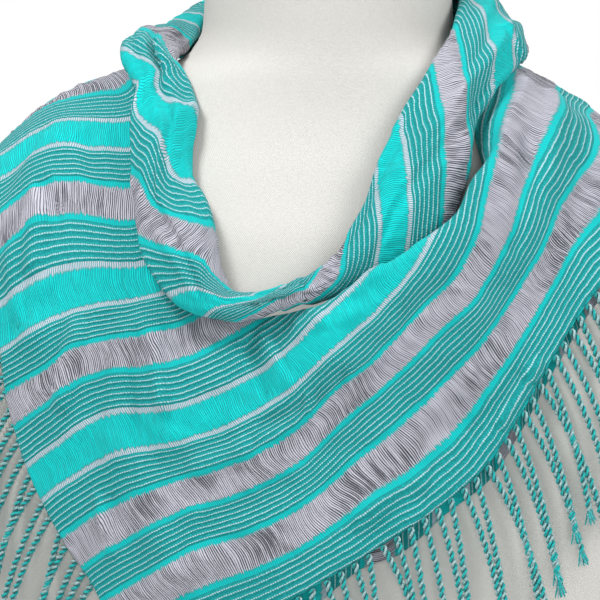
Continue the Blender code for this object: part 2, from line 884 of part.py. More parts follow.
def make_fringe(name, edge, normal, way, hang, seed):
    """A narrow strip parted from the cloth's edge, with a strand out of it at every pitch."""
    random = np.random.default_rng(seed)
    marks = fringe_marks(edge)
    spot = rows_at(marks, edge, edge)
    up = rows_at(marks, edge, normal)
    up /= np.linalg.norm(up, axis=1, keepdims=True)
    out = rows_at(marks, edge, way)
    out /= np.linalg.norm(out, axis=1, keepdims=True)
    near = spot + out * SEAM
    far = near + out * STRIP_WIDTH
    mesh = bmesh.new()
    rings = []
    for corners in zip(near, far, far + up * WALL, near + up * WALL):
        rings.append([mesh.verts.new(point * MM) for point in corners])
    for k, (a, b) in enumerate(zip(rings, rings[1:])):
        mesh.faces.new((a[0], b[0], b[3], a[3]))
        mesh.faces.new((a[0], a[1], b[1], b[0]))
        mesh.faces.new((a[3], b[3], b[2], a[2]))
        if k % 2:
            mesh.faces.new((a[1], a[2], b[2], b[1]))
            continue
        sway = random.normal(0, STRAND_SWAY)
        length = random.uniform(STRAND_SHORTEST, STRAND_LONGEST)
        root = (far[k] + far[k + 1] + up[k] * WALL) / 2
        path = strand_path(root, out[k], up[k], hang, sway, length)
        add_strand(mesh, [a[1], b[1], b[2], a[2]], path, far[k + 1] - far[k], up[k])
    mesh.faces.new(rings[0])
    mesh.faces.new(rings[-1][::-1])
    return finish_mesh(name, mesh)


def strand_path(root, out, up, hang, sway, length):
    """The middle points of a strand, which falls away from its root and lies on the form."""
    down = np.array([0.0, 0.0, -1.0])
    way = out * (1 - hang.gravity) + down * hang.gravity + np.cross(up, out) * sway
    way -= up * (way @ up)
    way /= np.linalg.norm(way)
    path = [root]
    here = root
    gone = 0.0
    for distance, _, thickness in STRAND_RINGS:
        step = (distance - gone) * length
        gone = distance
        pieces = max(1, round(step / STRAND_BEND))
        for _ in range(pieces):
            here = here + way * step / pieces
            angle = math.degrees(math.atan2(here[1], here[0])) % 360
            here = kept_off(here[None], hang.clearance(gone, angle) + thickness / 2)[0]
            way = way * (1 - STRAND_DROOP) + down * STRAND_DROOP
            way /= np.linalg.norm(way)
        path.append(here)
    return path


def add_strand(mesh, corners, path, side, up):
    """Grow one four-sided strand along its path out of a face of the strip."""
    last = corners
    for k, (_, width, thickness) in enumerate(STRAND_RINGS):
        here = path[k + 1]
        run = here - path[k]
        run /= np.linalg.norm(run)
        across = side - run * (side @ run)
        across /= np.linalg.norm(across)
        rise = np.cross(across, run)
        rise *= math.copysign(1.0, rise @ up)
        half = across * width / 2
        thick = rise * thickness / 2
        spots = (here - half - thick, here + half - thick, here + half + thick, here - half + thick)
        ring = [mesh.verts.new(spot * MM) for spot in spots]
        for i in range(4):
            n = (i + 1) % 4
            mesh.faces.new((last[i], last[n], ring[n], ring[i]))
        last = ring
    mesh.faces.new(last)


STRIP_INSET = 2.0
OVER_UNDER = UNDER_STANDOFF + WALL + 0.5
OVER_TAIL = 5.2
OTHER_TAIL_FROM = 60.0
OTHER_TAIL_TO = 150.0
OTHER_TAIL_EASE = 8.0
RIGHT_FRINGES = [
    # name, from angle, to angle, pull down, first rise, rise over the other tail
    ("fringe_right_front", 230.0, 352.0, 0.48, OVER_UNDER, 0.0),
    ("fringe_right_back", 352.0, 484.0, 0.45, OVER_UNDER, OVER_TAIL),
]
LEFT_FRINGES = [
    # name, from angle, to angle, pull down, first rise, rise over the other tail
    ("fringe_left_back", 98.0, 186.0, 0.45, STRAND_CLEARANCE, 0.0),
    ("fringe_left_front", 186.0, 226.0, 0.42, STRAND_CLEARANCE, 0.0),
]


def nearest(values, value):
    """Which of the values is nearest to one."""
    return int(np.argmin(np.abs(values - value)))


def make_fringes(wrap, angles):
    """The fringes: out of the upper layer's right edge and the lower layer's left edge."""
    made = []
    frames = (upper_hem(wrap, angles), lower_hem(wrap, angles))
    for rows, frame in zip((RIGHT_FRINGES, LEFT_FRINGES), frames):
        for name, low, high, gravity, first_rise, over_tail in rows:
            part = slice(nearest(angles, low), nearest(angles, high) + 1)
            lines = [line[part] for line in frame]
            hang = Hang(gravity, first_rise, over_tail)
            made.append(make_fringe(name, *lines, hang, seed=len(made)))
    return made


def main():
    for obj in list(bpy.data.objects):
        bpy.data.objects.remove(obj)
    linen = material("linen", (0.76, 0.73, 0.66), 0.9)
    woven = material("woven", (0.03, 0.55, 0.55), 0.75)
    lower = material("woven_lower", (0.02, 0.42, 0.42), 0.75)
    twisted = material("twisted", (0.10, 0.60, 0.58), 0.8)
    wrap = Wrap()
    angles = wrap_angles(wrap)
    dress(make_form(), linen)
    dress(make_loop(wrap), woven)
    dress(make_top(wrap, angles), woven)
    dress(make_under(wrap, angles), lower)
    for fringe in make_fringes(wrap, angles):
        dress(fringe, twisted)


if __name__ == "__main__":
    main()
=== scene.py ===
"""A square striped scarf wound round a limbless dress form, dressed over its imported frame.

Lengths in the tables are millimetres and angles are degrees round the neck's axis, from +X
towards the back. A reach is the distance down the form's surface from the top of the scarf's
neck. Places seen from the front are told in the steps of a view 600 steps wide.
"""

import logging
import math
from dataclasses import dataclass
from enum import Enum
from typing import Iterable, Sequence, Union

import bpy
import numpy as np
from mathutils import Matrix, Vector


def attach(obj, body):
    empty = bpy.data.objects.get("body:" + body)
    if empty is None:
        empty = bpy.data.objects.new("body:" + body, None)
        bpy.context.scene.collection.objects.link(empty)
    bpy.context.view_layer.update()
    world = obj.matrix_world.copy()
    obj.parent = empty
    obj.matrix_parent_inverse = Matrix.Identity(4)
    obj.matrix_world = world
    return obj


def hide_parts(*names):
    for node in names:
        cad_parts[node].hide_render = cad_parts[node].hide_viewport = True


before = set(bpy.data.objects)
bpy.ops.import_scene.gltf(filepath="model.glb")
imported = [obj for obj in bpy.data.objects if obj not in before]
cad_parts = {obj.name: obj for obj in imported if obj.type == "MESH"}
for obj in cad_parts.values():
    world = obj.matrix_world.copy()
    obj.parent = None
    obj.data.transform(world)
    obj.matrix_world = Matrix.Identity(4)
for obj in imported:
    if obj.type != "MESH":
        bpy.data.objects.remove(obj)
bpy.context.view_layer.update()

LOG = logging.getLogger("scarf")
MM = 0.001
BODY = "root"

Array = np.ndarray
Object = bpy.types.Object
Material = bpy.types.Material
Rows = Sequence[Sequence[float]]
Place = tuple[float, float, float]
Colour = tuple[float, float, float]
Value = Union["Term", float, str, tuple[float, ...]]


# Curves, planes and waves that the cloth's shape is worked out with


class Smooth:
    """A curve that runs smoothly through rows, with no overshoot between them."""

    def __init__(self, keys: Sequence[float], values: Sequence[float]) -> None:
        """Work out the slopes.

        Args:
            keys: Where the rows lie, rising.
            values: What each row says.
        """
        self.keys = np.asarray(keys, float)
        self.values = np.asarray(values, float)
        self.steps = np.diff(self.keys)
        slopes = np.diff(self.values) / self.steps
        before = slopes[:-1]
        after = slopes[1:]
        same_way = before * after > 0
        total = np.where(same_way, before + after, 1.0)
        middle = np.where(same_way, 2 * before * after / total, 0.0)
        self.tangents = np.concatenate([slopes[:1], middle, slopes[-1:]])

    def __call__(self, key: Array | float) -> Array:
        """Read the curve.

        Args:
            key: Where to read it.

        Returns:
            Its values there.
        """
        key = np.clip(np.asarray(key, float), self.keys[0], self.keys[-1])
        i = np.clip(np.searchsorted(self.keys, key, side="right") - 1, 0, len(self.steps) - 1)
        t = (key - self.keys[i]) / self.steps[i]
        start = self.values[i] * (2 * t**3 - 3 * t**2 + 1)
        end = self.values[i + 1] * (3 * t**2 - 2 * t**3)
        bend = self.tangents[i] * (t**3 - 2 * t**2 + t) + self.tangents[i + 1] * (t**3 - t**2)
        return start + end + bend * self.steps[i]

    @classmethod
    def of(cls, rows: Rows, place: int = 1) -> "Smooth":
        """A curve through one column of a table, by its first column."""
        rows = sorted(rows, key=lambda row: row[0])
        return cls([row[0] for row in rows], [row[place] for row in rows])

    @classmethod
    def around(cls, rows: Rows, place: int) -> "Smooth":
        """A curve by angle that joins up with itself over a whole turn.

        Args:
            rows: A table whose first column is an angle.
            place: The column that is read.

        Returns:
            The curve.
        """
        rows = sorted(rows, key=lambda row: row[0])
        ahead = [[row[0] - 360, *row[1:]] for row in rows[-3:]]
        behind = [[row[0] + 360, *row[1:]] for row in rows]
        return cls.of([*ahead, *rows, *behind], place)


class ThinPlate:
    """A surface as smooth as a bent plate, through values at scattered places."""

    def __init__(self, places: Array, values: Array, give: float) -> None:
        """Solve for the plate.

        Args:
            places: Where the values lie, in a plane.
            values: One value for each place.
            give: How far the plate may miss them, 0 for not at all.
        """
        self.places = np.asarray(places, float)
        count = len(self.places)
        flat = np.concatenate([np.ones((count, 1)), self.places], 1)
        grid = np.zeros((count + 3, count + 3))
        grid[:count, :count] = self.kernel(self.places) + give * np.eye(count)
        grid[:count, count:] = flat
        grid[count:, :count] = flat.T
        target = np.concatenate([values, np.zeros(3)])
        self.weights = np.linalg.lstsq(grid, target, rcond=None)[0]

    def kernel(self, places: Array) -> Array:
        """How much each control point counts at some places.

        Args:
            places: Places in the plane.

        Returns:
            A row of weights for each place.
        """
        gap = places[:, None, :] - self.places[None, :, :]
        square = (gap**2).sum(-1) + 1e-9
        return 0.5 * square * np.log(square) * 1e-4

    def __call__(self, places: Array) -> Array:
        """Read the plate.

        Args:
            places: Where to read it, in an array of any shape that ends in 2.

        Returns:
            Its values there.
        """
        flat = places.reshape(-1, 2)
        values = np.empty(len(flat))
        for start in range(0, len(flat), 8000):
            part = flat[start : start + 8000]
            plane = np.concatenate([np.ones((len(part), 1)), part], 1)
            values[start : start + 8000] = self.kernel(part) @ self.weights[:-3]
            values[start : start + 8000] += plane @ self.weights[-3:]
        return values.reshape(places.shape[:-1])


def ease(t: Array | float) -> Array:
    """0 to 1 with level ends."""
    t = np.clip(t, 0, 1)
    return t * t * (3 - 2 * t)


def bump(distance: Array) -> Array:
    """A round bump, 1 in its middle and 0 from 1 outwards."""
    return np.clip(1 - np.asarray(distance) ** 2, 0, 1) ** 2


def band(value: Array, low: float, high: float, soft: float) -> Array:
    """1 between two values and 0 outside them, over a soft edge."""
    return ease((value - low) / soft + 0.5) * ease((high - value) / soft + 0.5)


def wander(x: Array, y: Array, length: float, seed: int, waves: int = 7) -> Array:
    """A wandering value from about -1 to 1 over a plane.

    Args:
        x: First coordinate.
        y: Second coordinate.
        length: The usual distance from crest to crest.
        seed: Which wander.
        waves: How many waves it is added up from.

    Returns:
        The value at each place.
    """
    random = np.random.default_rng(seed)
    total = np.zeros(np.broadcast(x, y).shape)
    for _ in range(waves):
        turn = random.uniform(0, 2 * math.pi)
        size = 2 * math.pi / (length * random.uniform(0.6, 1.6))
        start = random.uniform(0, 2 * math.pi)
        total = total + np.sin(size * (x * math.cos(turn) + y * math.sin(turn)) + start)
    return total / math.sqrt(waves)


def unit(vectors: Array) -> Array:
    """Vectors of length 1."""
    return vectors / np.maximum(np.linalg.norm(vectors, axis=-1, keepdims=True), 1e-9)


def place_at(angle: Array, radius: Array, z: Array) -> Array:
    """The points at some angles, radii and heights."""
    turn = np.radians(angle)
    return np.stack([radius * np.cos(turn), radius * np.sin(turn), z + 0 * radius], -1)


def angle_of(points: Array) -> Array:
    """The angles of some points round the neck's axis, from 0 to 360."""
    return np.degrees(np.arctan2(points[..., 1], points[..., 0])) % 360


# The form, and how the front of it is seen


@dataclass(frozen=True)
class FormShape:
    """The limbless form's surface: stacked sections, and distances down it."""

    reach_from: float = 640.0
    reach_to: float = 290.0
    sections: Rows = (
        # z, half width, front, back, squareness
        (690, 55, 57, 55, 2.0),
        (640, 56, 57, 56, 2.0),
        (612, 57.5, 58, 58, 2.0),
        (600, 64, 59, 64, 2.0),
        (589, 88, 61, 74, 2.0),
        (575, 110, 64, 83, 2.05),
        (561, 132, 69, 89, 2.1),
        (549, 150, 75, 93, 2.15),
        (535, 168, 82, 97, 2.2),
        (518, 182, 91, 101, 2.25),
        (495, 189, 99, 104, 2.3),
        (465, 188, 108, 106, 2.35),
        (430, 180, 114, 104, 2.35),
        (390, 170, 118, 98, 2.3),
        (345, 158, 115, 90, 2.25),
        (290, 140, 102, 82, 2.2),
        (240, 126, 92, 78, 2.2),
        (200, 122, 90, 80, 2.2),
        (150, 134, 94, 92, 2.2),
        (90, 156, 100, 108, 2.2),
        (40, 167, 102, 112, 2.2),
        (0, 168, 102, 110, 2.2),
    )

    def __post_init__(self) -> None:
        """Make the curves through the sections."""
        for place, name in enumerate(("half_width", "front", "back", "squareness"), 1):
            object.__setattr__(self, name, Smooth.of(self.sections, place))
        levels = np.linspace(self.reach_from, self.reach_to, 351)
        object.__setattr__(self, "levels", levels)

    def radius(self, angle: Array, z: Array) -> Array:
        """The distance from the neck's axis to the surface.

        Args:
            angle: Angles.
            z: Heights.

        Returns:
            The radii.
        """
        turn = np.radians(angle)
        depth = np.where(np.sin(turn) < 0, self.front(z), self.back(z))
        power = self.squareness(z)
        across = np.abs(np.cos(turn) / self.half_width(z)) ** power
        along = np.abs(np.sin(turn) / depth) ** power
        return (across + along) ** (-1 / power)

    def normal(self, angle: Array, z: Array) -> Array:
        """The outward directions of the surface.

        Args:
            angle: Angles.
            z: Heights.

        Returns:
            Directions of length 1.
        """
        radius = self.radius(angle, z)
        slope = (self.radius(angle, z + 2) - self.radius(angle, z - 2)) / 4
        swing = (self.radius(angle + 1, z) - self.radius(angle - 1, z)) / np.radians(2)
        turn = np.radians(angle)
        out = np.stack([np.cos(turn), np.sin(turn)], -1)
        side = np.stack([-np.sin(turn), np.cos(turn)], -1)
        flat = out - (swing / radius)[..., None] * side
        return unit(np.concatenate([flat, -slope[..., None]], -1))

    def profile(self, angle: float) -> Array:
        """The reach of each level at one angle.

        Args:
            angle: The angle.

        Returns:
            A reach for each of the levels.
        """
        radius = self.radius(np.full(self.levels.shape, float(angle)), self.levels)
        steps = np.hypot(np.diff(radius), np.diff(self.levels))
        return np.concatenate([[0.0], np.cumsum(steps)])

    def height(self, angle: float, reach: Array | float) -> Array:
        """The height of a reach at one angle."""
        return np.interp(reach, self.profile(angle), self.levels)

    def reach_below(self, angle: Array, radius: Array, z: Array) -> Array:
        """The reach of the nearest place to each point, at the point's own angle.

        Args:
            angle: The points' angles.
            radius: Their radii.
            z: Their heights.

        Returns:
            The reaches.
        """
        levels = self.levels[::3]
        found = np.empty(angle.shape)
        for start in range(0, len(angle), 4000):
            part = slice(start, start + 4000)
            profile = self.radius(angle[part, None], levels[None])
            away = np.hypot(profile - radius[part, None], levels - z[part, None])
            nearest = away.argmin(1)
            steps = np.hypot(np.diff(profile, axis=1), np.diff(levels))
            reaches = np.concatenate([np.zeros((len(profile), 1)), np.cumsum(steps, 1)], 1)
            found[part] = reaches[np.arange(len(profile)), nearest]
        return found

    def kept_off(self, points: Array, clearance: Array | float) -> Array:
        """Move points outwards until they stand off the surface by their clearance.

        Args:
            points: The points.
            clearance: How far each is to stand off, at least.

        Returns:
            The points where they end.
        """
        points = points.copy()
        for _ in range(4):
            angle = angle_of(points)
            normal = self.normal(angle, points[..., 2])
            level = np.hypot(normal[..., 0], normal[..., 1])
            radius = np.hypot(points[..., 0], points[..., 1])
            away = (radius - self.radius(angle, points[..., 2])) * level
            points += normal * np.maximum(0, clearance - away)[..., None]
        return points


@dataclass(frozen=True)
class Sight:
    """The eye that the front was measured from, and the view in front of it."""

    distance: float = 1450.0
    rise: float = math.radians(3.0)
    aim: tuple[float, float, float] = (-13.0, 0.0, 487.0)
    step: float = 0.46
    middle: float = 300.0
    start: float = 1370.0
    rounds: int = 60

    def frame_of(self) -> tuple[Array, Array, Array, Array]:
        """The eye, and its directions ahead, to the right and up.

        Returns:
            The eye, then the three directions.
        """
        sine = math.sin(self.rise)
        cosine = math.cos(self.rise)
        eye = np.array(self.aim) + self.distance * np.array([0.0, -cosine, sine])
        ahead = np.array([0.0, cosine, -sine])
        return eye, ahead, np.array([1.0, 0.0, 0.0]), np.array([0.0, sine, cosine])

    def steps_of(self, points: Array) -> Array:
        """Where points are seen: right and down, in steps.

        Args:
            points: The points.

        Returns:
            A pair of steps for each.
        """
        eye, ahead, right, up = self.frame_of()
        from_eye = points - eye
        scale = self.distance / self.step / (from_eye @ ahead)
        return np.stack(
            [self.middle + (from_eye @ right) * scale, self.middle - (from_eye @ up) * scale], -1
        )

    def place(self, form: FormShape, right: float, down: float, stand: float) -> tuple:
        """The angle, reach and point of what stands off the form, seen at a step of the view.

        Args:
            form: The form's surface.
            right: Steps from the view's left edge.
            down: Steps from its top.
            stand: How far the point stands off the form.

        Returns:
            The angle and reach of the form's nearest place, and the point itself.
        """
        eye, ahead, to_right, up = self.frame_of()
        ray = ahead + to_right * (right - self.middle) * self.step / self.distance
        ray = ray + up * (self.middle - down) * self.step / self.distance
        gone = self.start
        for _ in range(self.rounds):
            point = eye + ray * gone
            angle = math.degrees(math.atan2(point[1], point[0])) % 360
            normal = form.normal(np.float64(angle), np.float64(point[2]))
            radius = math.hypot(point[0], point[1])
            away = radius - form.radius(np.float64(angle), np.float64(point[2]))
            away *= math.hypot(normal[0], normal[1])
            gone += 0.6 * (away - stand) / max(0.35, abs(normal[1]))
        foot = point - stand * normal
        angle = math.degrees(math.atan2(foot[1], foot[0])) % 360
        reach = float(np.interp(-foot[2], -form.levels, form.profile(angle)))
        return angle, reach, point


FORM = FormShape()
SIGHT = Sight()


def seen(right: float, down: float, stand: float) -> tuple[float, float]:
    """The angle and reach of what is seen at a step of the view."""
    return SIGHT.place(FORM, right, down, stand)[:2]


def seen_rows(rows: Rows) -> list[tuple[float, float, float]]:
    """Rows of right, down and stand-off as rows of angle, radius and height."""
    points = [SIGHT.place(FORM, *row)[2] for row in rows]
    return [(float(angle_of(p)), math.hypot(p[0], p[1]), float(p[2])) for p in points]


def line_round(in_view: Rows, behind: Rows) -> tuple[Smooth, Smooth]:
    """A line round the neck, from where it is seen in front and told behind.

    Args:
        in_view: Rows of right, down and stand-off.
        behind: Rows of angle, radius and height.

    Returns:
        Its radius and its height, by angle.
    """
    rows = sorted([*seen_rows(in_view), *behind])
    return Smooth.around(rows, 1), Smooth.around(rows, 2)


def unrolled(angle: Array | float, reach: Array | float) -> Array:
    """The form's surface laid out flat round the neck."""
    turn = np.radians(angle)
    return np.stack([(reach + 30) * np.cos(turn), (reach + 30) * np.sin(turn)], -1)


# The stripes: a cell is one pin-striped band and the gauze band after it


class Stripes:
    """Places across the cloth in cells, from the fringed edge inwards."""

    CELL = 36.5
    BORDER_CELL = 38.5
    BORDER_CELLS = 2

    @classmethod
    def cells(cls, distance: Array | float) -> Array:
        """Cells from the fringed edge, for a distance from it.

        Args:
            distance: Millimetres from the edge.

        Returns:
            The cells.
        """
        border = cls.BORDER_CELL * cls.BORDER_CELLS
        distance = np.asarray(distance, float)
        inside = cls.BORDER_CELLS + (distance - border) / cls.CELL
        return np.where(distance < border, distance / cls.BORDER_CELL, inside)


# How far the yarns across a stripe resist leaning, beside how far those along it resist stretching
YARN_SHEAR = 0.15


def along_stripes(points: Array, cells: Array, also: int = 0) -> tuple[Array, Array, Array]:
    """Distances along the stripes, at a few places of a grid of cloth whose cells are known.

    Args:
        points: A grid of the cloth's points.
        cells: The cells at them.
        also: A column that is one of the few.

    Returns:
        The numbers of those columns and rows, and their millimetres along the stripes.
    """
    columns = np.linspace(0, points.shape[0] - 1, 84).round().astype(int)
    columns = np.unique(np.append(columns, also))
    rows = np.unique(np.linspace(0, points.shape[1] - 1, 12).round().astype(int))
    few = points[np.ix_(columns, rows)]
    value = cells[np.ix_(columns, rows)]
    number = np.arange(value.size).reshape(value.shape)
    corners = [number[:-1, :-1], number[1:, :-1], number[:-1, 1:], number[1:, 1:]]
    by_column = (-0.5, 0.5, -0.5, 0.5)
    by_row = (-0.5, -0.5, 0.5, 0.5)
    flat = few.reshape(-1, 3)
    d_column = sum(w * flat[c] for w, c in zip(by_column, corners))
    d_row = sum(w * flat[c] for w, c in zip(by_row, corners))
    g_column = sum(w * value.ravel()[c] for w, c in zip(by_column, corners))[..., None]
    g_row = sum(w * value.ravel()[c] for w, c in zip(by_row, corners))[..., None]
    cc, rr, cr = ((a * b).sum(-1, keepdims=True) for a, b in (
        (d_column, d_column), (d_row, d_row), (d_column, d_row)))
    area = np.maximum(cc * rr - cr * cr, 1e-3)
    slope_column = (rr * d_column - cr * d_row) / area
    slope_row = (cc * d_row - cr * d_column) / area
    climb = unit(slope_column * g_column + slope_row * g_row)
    run = unit(np.cross(unit(np.cross(d_column, d_row)), climb))
    normal = 1e-6 * np.eye(value.size)
    right = np.zeros(value.size)
    for way, wanted, stiff in ((run, 1.0, 1.0), (climb, 0.0, YARN_SHEAR)):
        shares = [
            ((slope_column * a + slope_row * b) * way).sum(-1) for a, b in zip(by_column, by_row)
        ]
        weight = stiff * np.sqrt(area[..., 0])
        for share_a, corner_a in zip(shares, corners):
            np.add.at(right, corner_a, weight * share_a * wanted)
            for share_b, corner_b in zip(shares, corners):
                np.add.at(normal, (corner_a, corner_b), weight * share_a * share_b)
    return columns, rows, np.linalg.solve(normal, right).reshape(number.shape)


# Node trees, with their sums written as ordinary arithmetic


class Op(Enum):
    """Sums that the node trees use."""

    ADD = "ADD"
    LESS = "SUBTRACT"
    TIMES = "MULTIPLY"
    OVER = "DIVIDE"
    FLOOR = "FLOOR"
    FRACTION = "FRACT"
    WRAP = "FLOORED_MODULO"
    SINE = "SINE"
    ABOVE = "GREATER_THAN"
    SIZE = "ABSOLUTE"
    MORE = "MAXIMUM"
    POWER = "POWER"


@dataclass(frozen=True)
class Term:
    """What comes out of a node, on which sums are written as they are on numbers."""

    nodes: "Nodes"
    socket: bpy.types.NodeSocket

    def __add__(self, other: Value) -> "Term":
        """This and another."""
        return self.nodes.sum(Op.ADD, self, other)

    def __sub__(self, other: Value) -> "Term":
        """This less another."""
        return self.nodes.sum(Op.LESS, self, other)

    def __rsub__(self, other: Value) -> "Term":
        """A number less this."""
        return self.nodes.sum(Op.LESS, other, self)

    def __mul__(self, other: Value) -> "Term":
        """This times another."""
        return self.nodes.sum(Op.TIMES, self, other)

    def __truediv__(self, other: Value) -> "Term":
        """This over another."""
        return self.nodes.sum(Op.OVER, self, other)

    def __mod__(self, other: Value) -> "Term":
        """What is left of this over whole times another."""
        return self.nodes.sum(Op.WRAP, self, other)

    def __abs__(self) -> "Term":
        """This without its sign."""
        return self.nodes.sum(Op.SIZE, self)

    def floor(self) -> "Term":
        """The whole number below this."""
        return self.nodes.sum(Op.FLOOR, self)

    def fraction(self) -> "Term":
        """How far this is past the whole number below it."""
        return self.nodes.sum(Op.FRACTION, self)


class Nodes:
    """A node tree that is being built."""

    def __init__(self, tree: bpy.types.NodeTree) -> None:
        """Take a tree to add to."""
        self.tree = tree

    def put(self, socket: bpy.types.NodeSocket, value: Value) -> None:
        """Link a value into a socket, or set it there.

        Args:
            socket: Where it goes.
            value: A term, a number, or a colour or place of three numbers.
        """
        if isinstance(value, Term):
            self.tree.links.new(value.socket, socket)
        elif isinstance(value, tuple) and socket.type == "RGBA":
            socket.default_value = (*value, 1.0)
        else:
            socket.default_value = value

    def add(
        self, kind: str, inputs: dict | None = None, output: int | str = 0, **settings: object
    ) -> Term:
        """Add a node.

        Args:
            kind: The sort of node.
            inputs: What goes into it, by the name or number of the socket.
            output: The name or number of the socket that is read.
            **settings: The node's own settings.

        Returns:
            What comes out of it.
        """
        node = self.tree.nodes.new(kind)
        for key, value in settings.items():
            setattr(node, key, value)
        for key, value in (inputs or {}).items():
            self.put(node.inputs[key], value)
        return Term(self, node.outputs[output])

    def sum(self, op: Op, *values: Value) -> Term:
        """The result of a sum."""
        return self.add("ShaderNodeMath", dict(enumerate(values)), operation=op.value)

    def vector(self, *values: Value) -> Term:
        """Three numbers as one vector."""
        return self.add("ShaderNodeCombineXYZ", dict(enumerate(values)))

    def join(self, parts: Iterable[Term]) -> Term:
        """Several geometries as one.

        Args:
            parts: The geometries, in order.

        Returns:
            The joined geometry.
        """
        both = self.tree.nodes.new("GeometryNodeJoinGeometry")
        for part in parts:
            self.put(both.inputs[0], part)
        return Term(self, both.outputs[0])


# Finishes


CLOTH_UV = "cloth"


class Finish(Nodes):
    """A material and the nodes that are being added to it."""

    SHEEN_ROUGHNESS = 0.5
    SHINE = 0.15

    def __init__(self, name: str) -> None:
        """Start a material with a bare Principled shader.

        Args:
            name: The material's name.
        """
        self.material = bpy.data.materials.new(name)
        self.material.use_nodes = True
        super().__init__(self.material.node_tree)
        self.shader = self.tree.nodes["Principled BSDF"]

    def step(self, value: Term, low: float, high: float) -> Term:
        """0 below low and 1 above high, smoothly."""
        span = {"Value": value, "From Min": low, "From Max": high}
        return self.add("ShaderNodeMapRange", span, "Result", interpolation_type="SMOOTHSTEP")

    def less_than(self, value: Term, low: float, high: float) -> Term:
        """1 below low and 0 above high, smoothly."""
        return 1.0 - self.step(value, low, high)

    def mix(self, share: Term, first: Value, second: Value) -> Term:
        """A colour between two, by a share."""
        return self.add("ShaderNodeMix", {0: share, 6: first, 7: second}, 2, data_type="RGBA")

    def noise(self, place: Term, scale: float = 1.0, detail: float = 2.0) -> Term:
        """A cloudy value at a place."""
        inputs = {"Vector": place, "Scale": scale, "Detail": detail}
        return self.add("ShaderNodeTexNoise", inputs, "Fac")

    def object_place(self) -> Term:
        """The place in the object's own frame."""
        return self.add("ShaderNodeTexCoord", output="Object")

    def attribute(self, name: str) -> Term:
        """A number that is kept at the mesh's points."""
        return self.add("ShaderNodeAttribute", output="Fac", attribute_name=name)

    def cloth_map(self) -> tuple[Term, Term]:
        """The two numbers of the cloth's own map.

        Returns:
            The first number and the second.
        """
        place = self.add("ShaderNodeUVMap", uv_map=CLOTH_UV)
        parts = self.add("ShaderNodeSeparateXYZ", {0: place}).socket.node.outputs
        return Term(self, parts[0]), Term(self, parts[1])

    def finished(
        self, colour: Term, height: Term, rise: float, roughness: float, sheen: float
    ) -> Material:
        """Give the shader its colour, its relief and its way of taking light.

        Args:
            colour: The colour.
            height: How far the surface stands out, from 0 to 1.
            rise: Millimetres that a height of 1 stands for.
            roughness: How matt it is.
            sheen: How much its hairs light up at the edges.

        Returns:
            The material.
        """
        relief = {"Height": height, "Distance": rise * MM, "Strength": 1.0}
        for name, value in (
            ("Base Color", colour), ("Normal", self.add("ShaderNodeBump", relief, "Normal")),
            ("Roughness", roughness), ("Specular IOR Level", self.SHINE),
            ("Sheen Weight", sheen), ("Sheen Roughness", self.SHEEN_ROUGHNESS),
        ):
            self.put(self.shader.inputs[name], value)
        return self.material


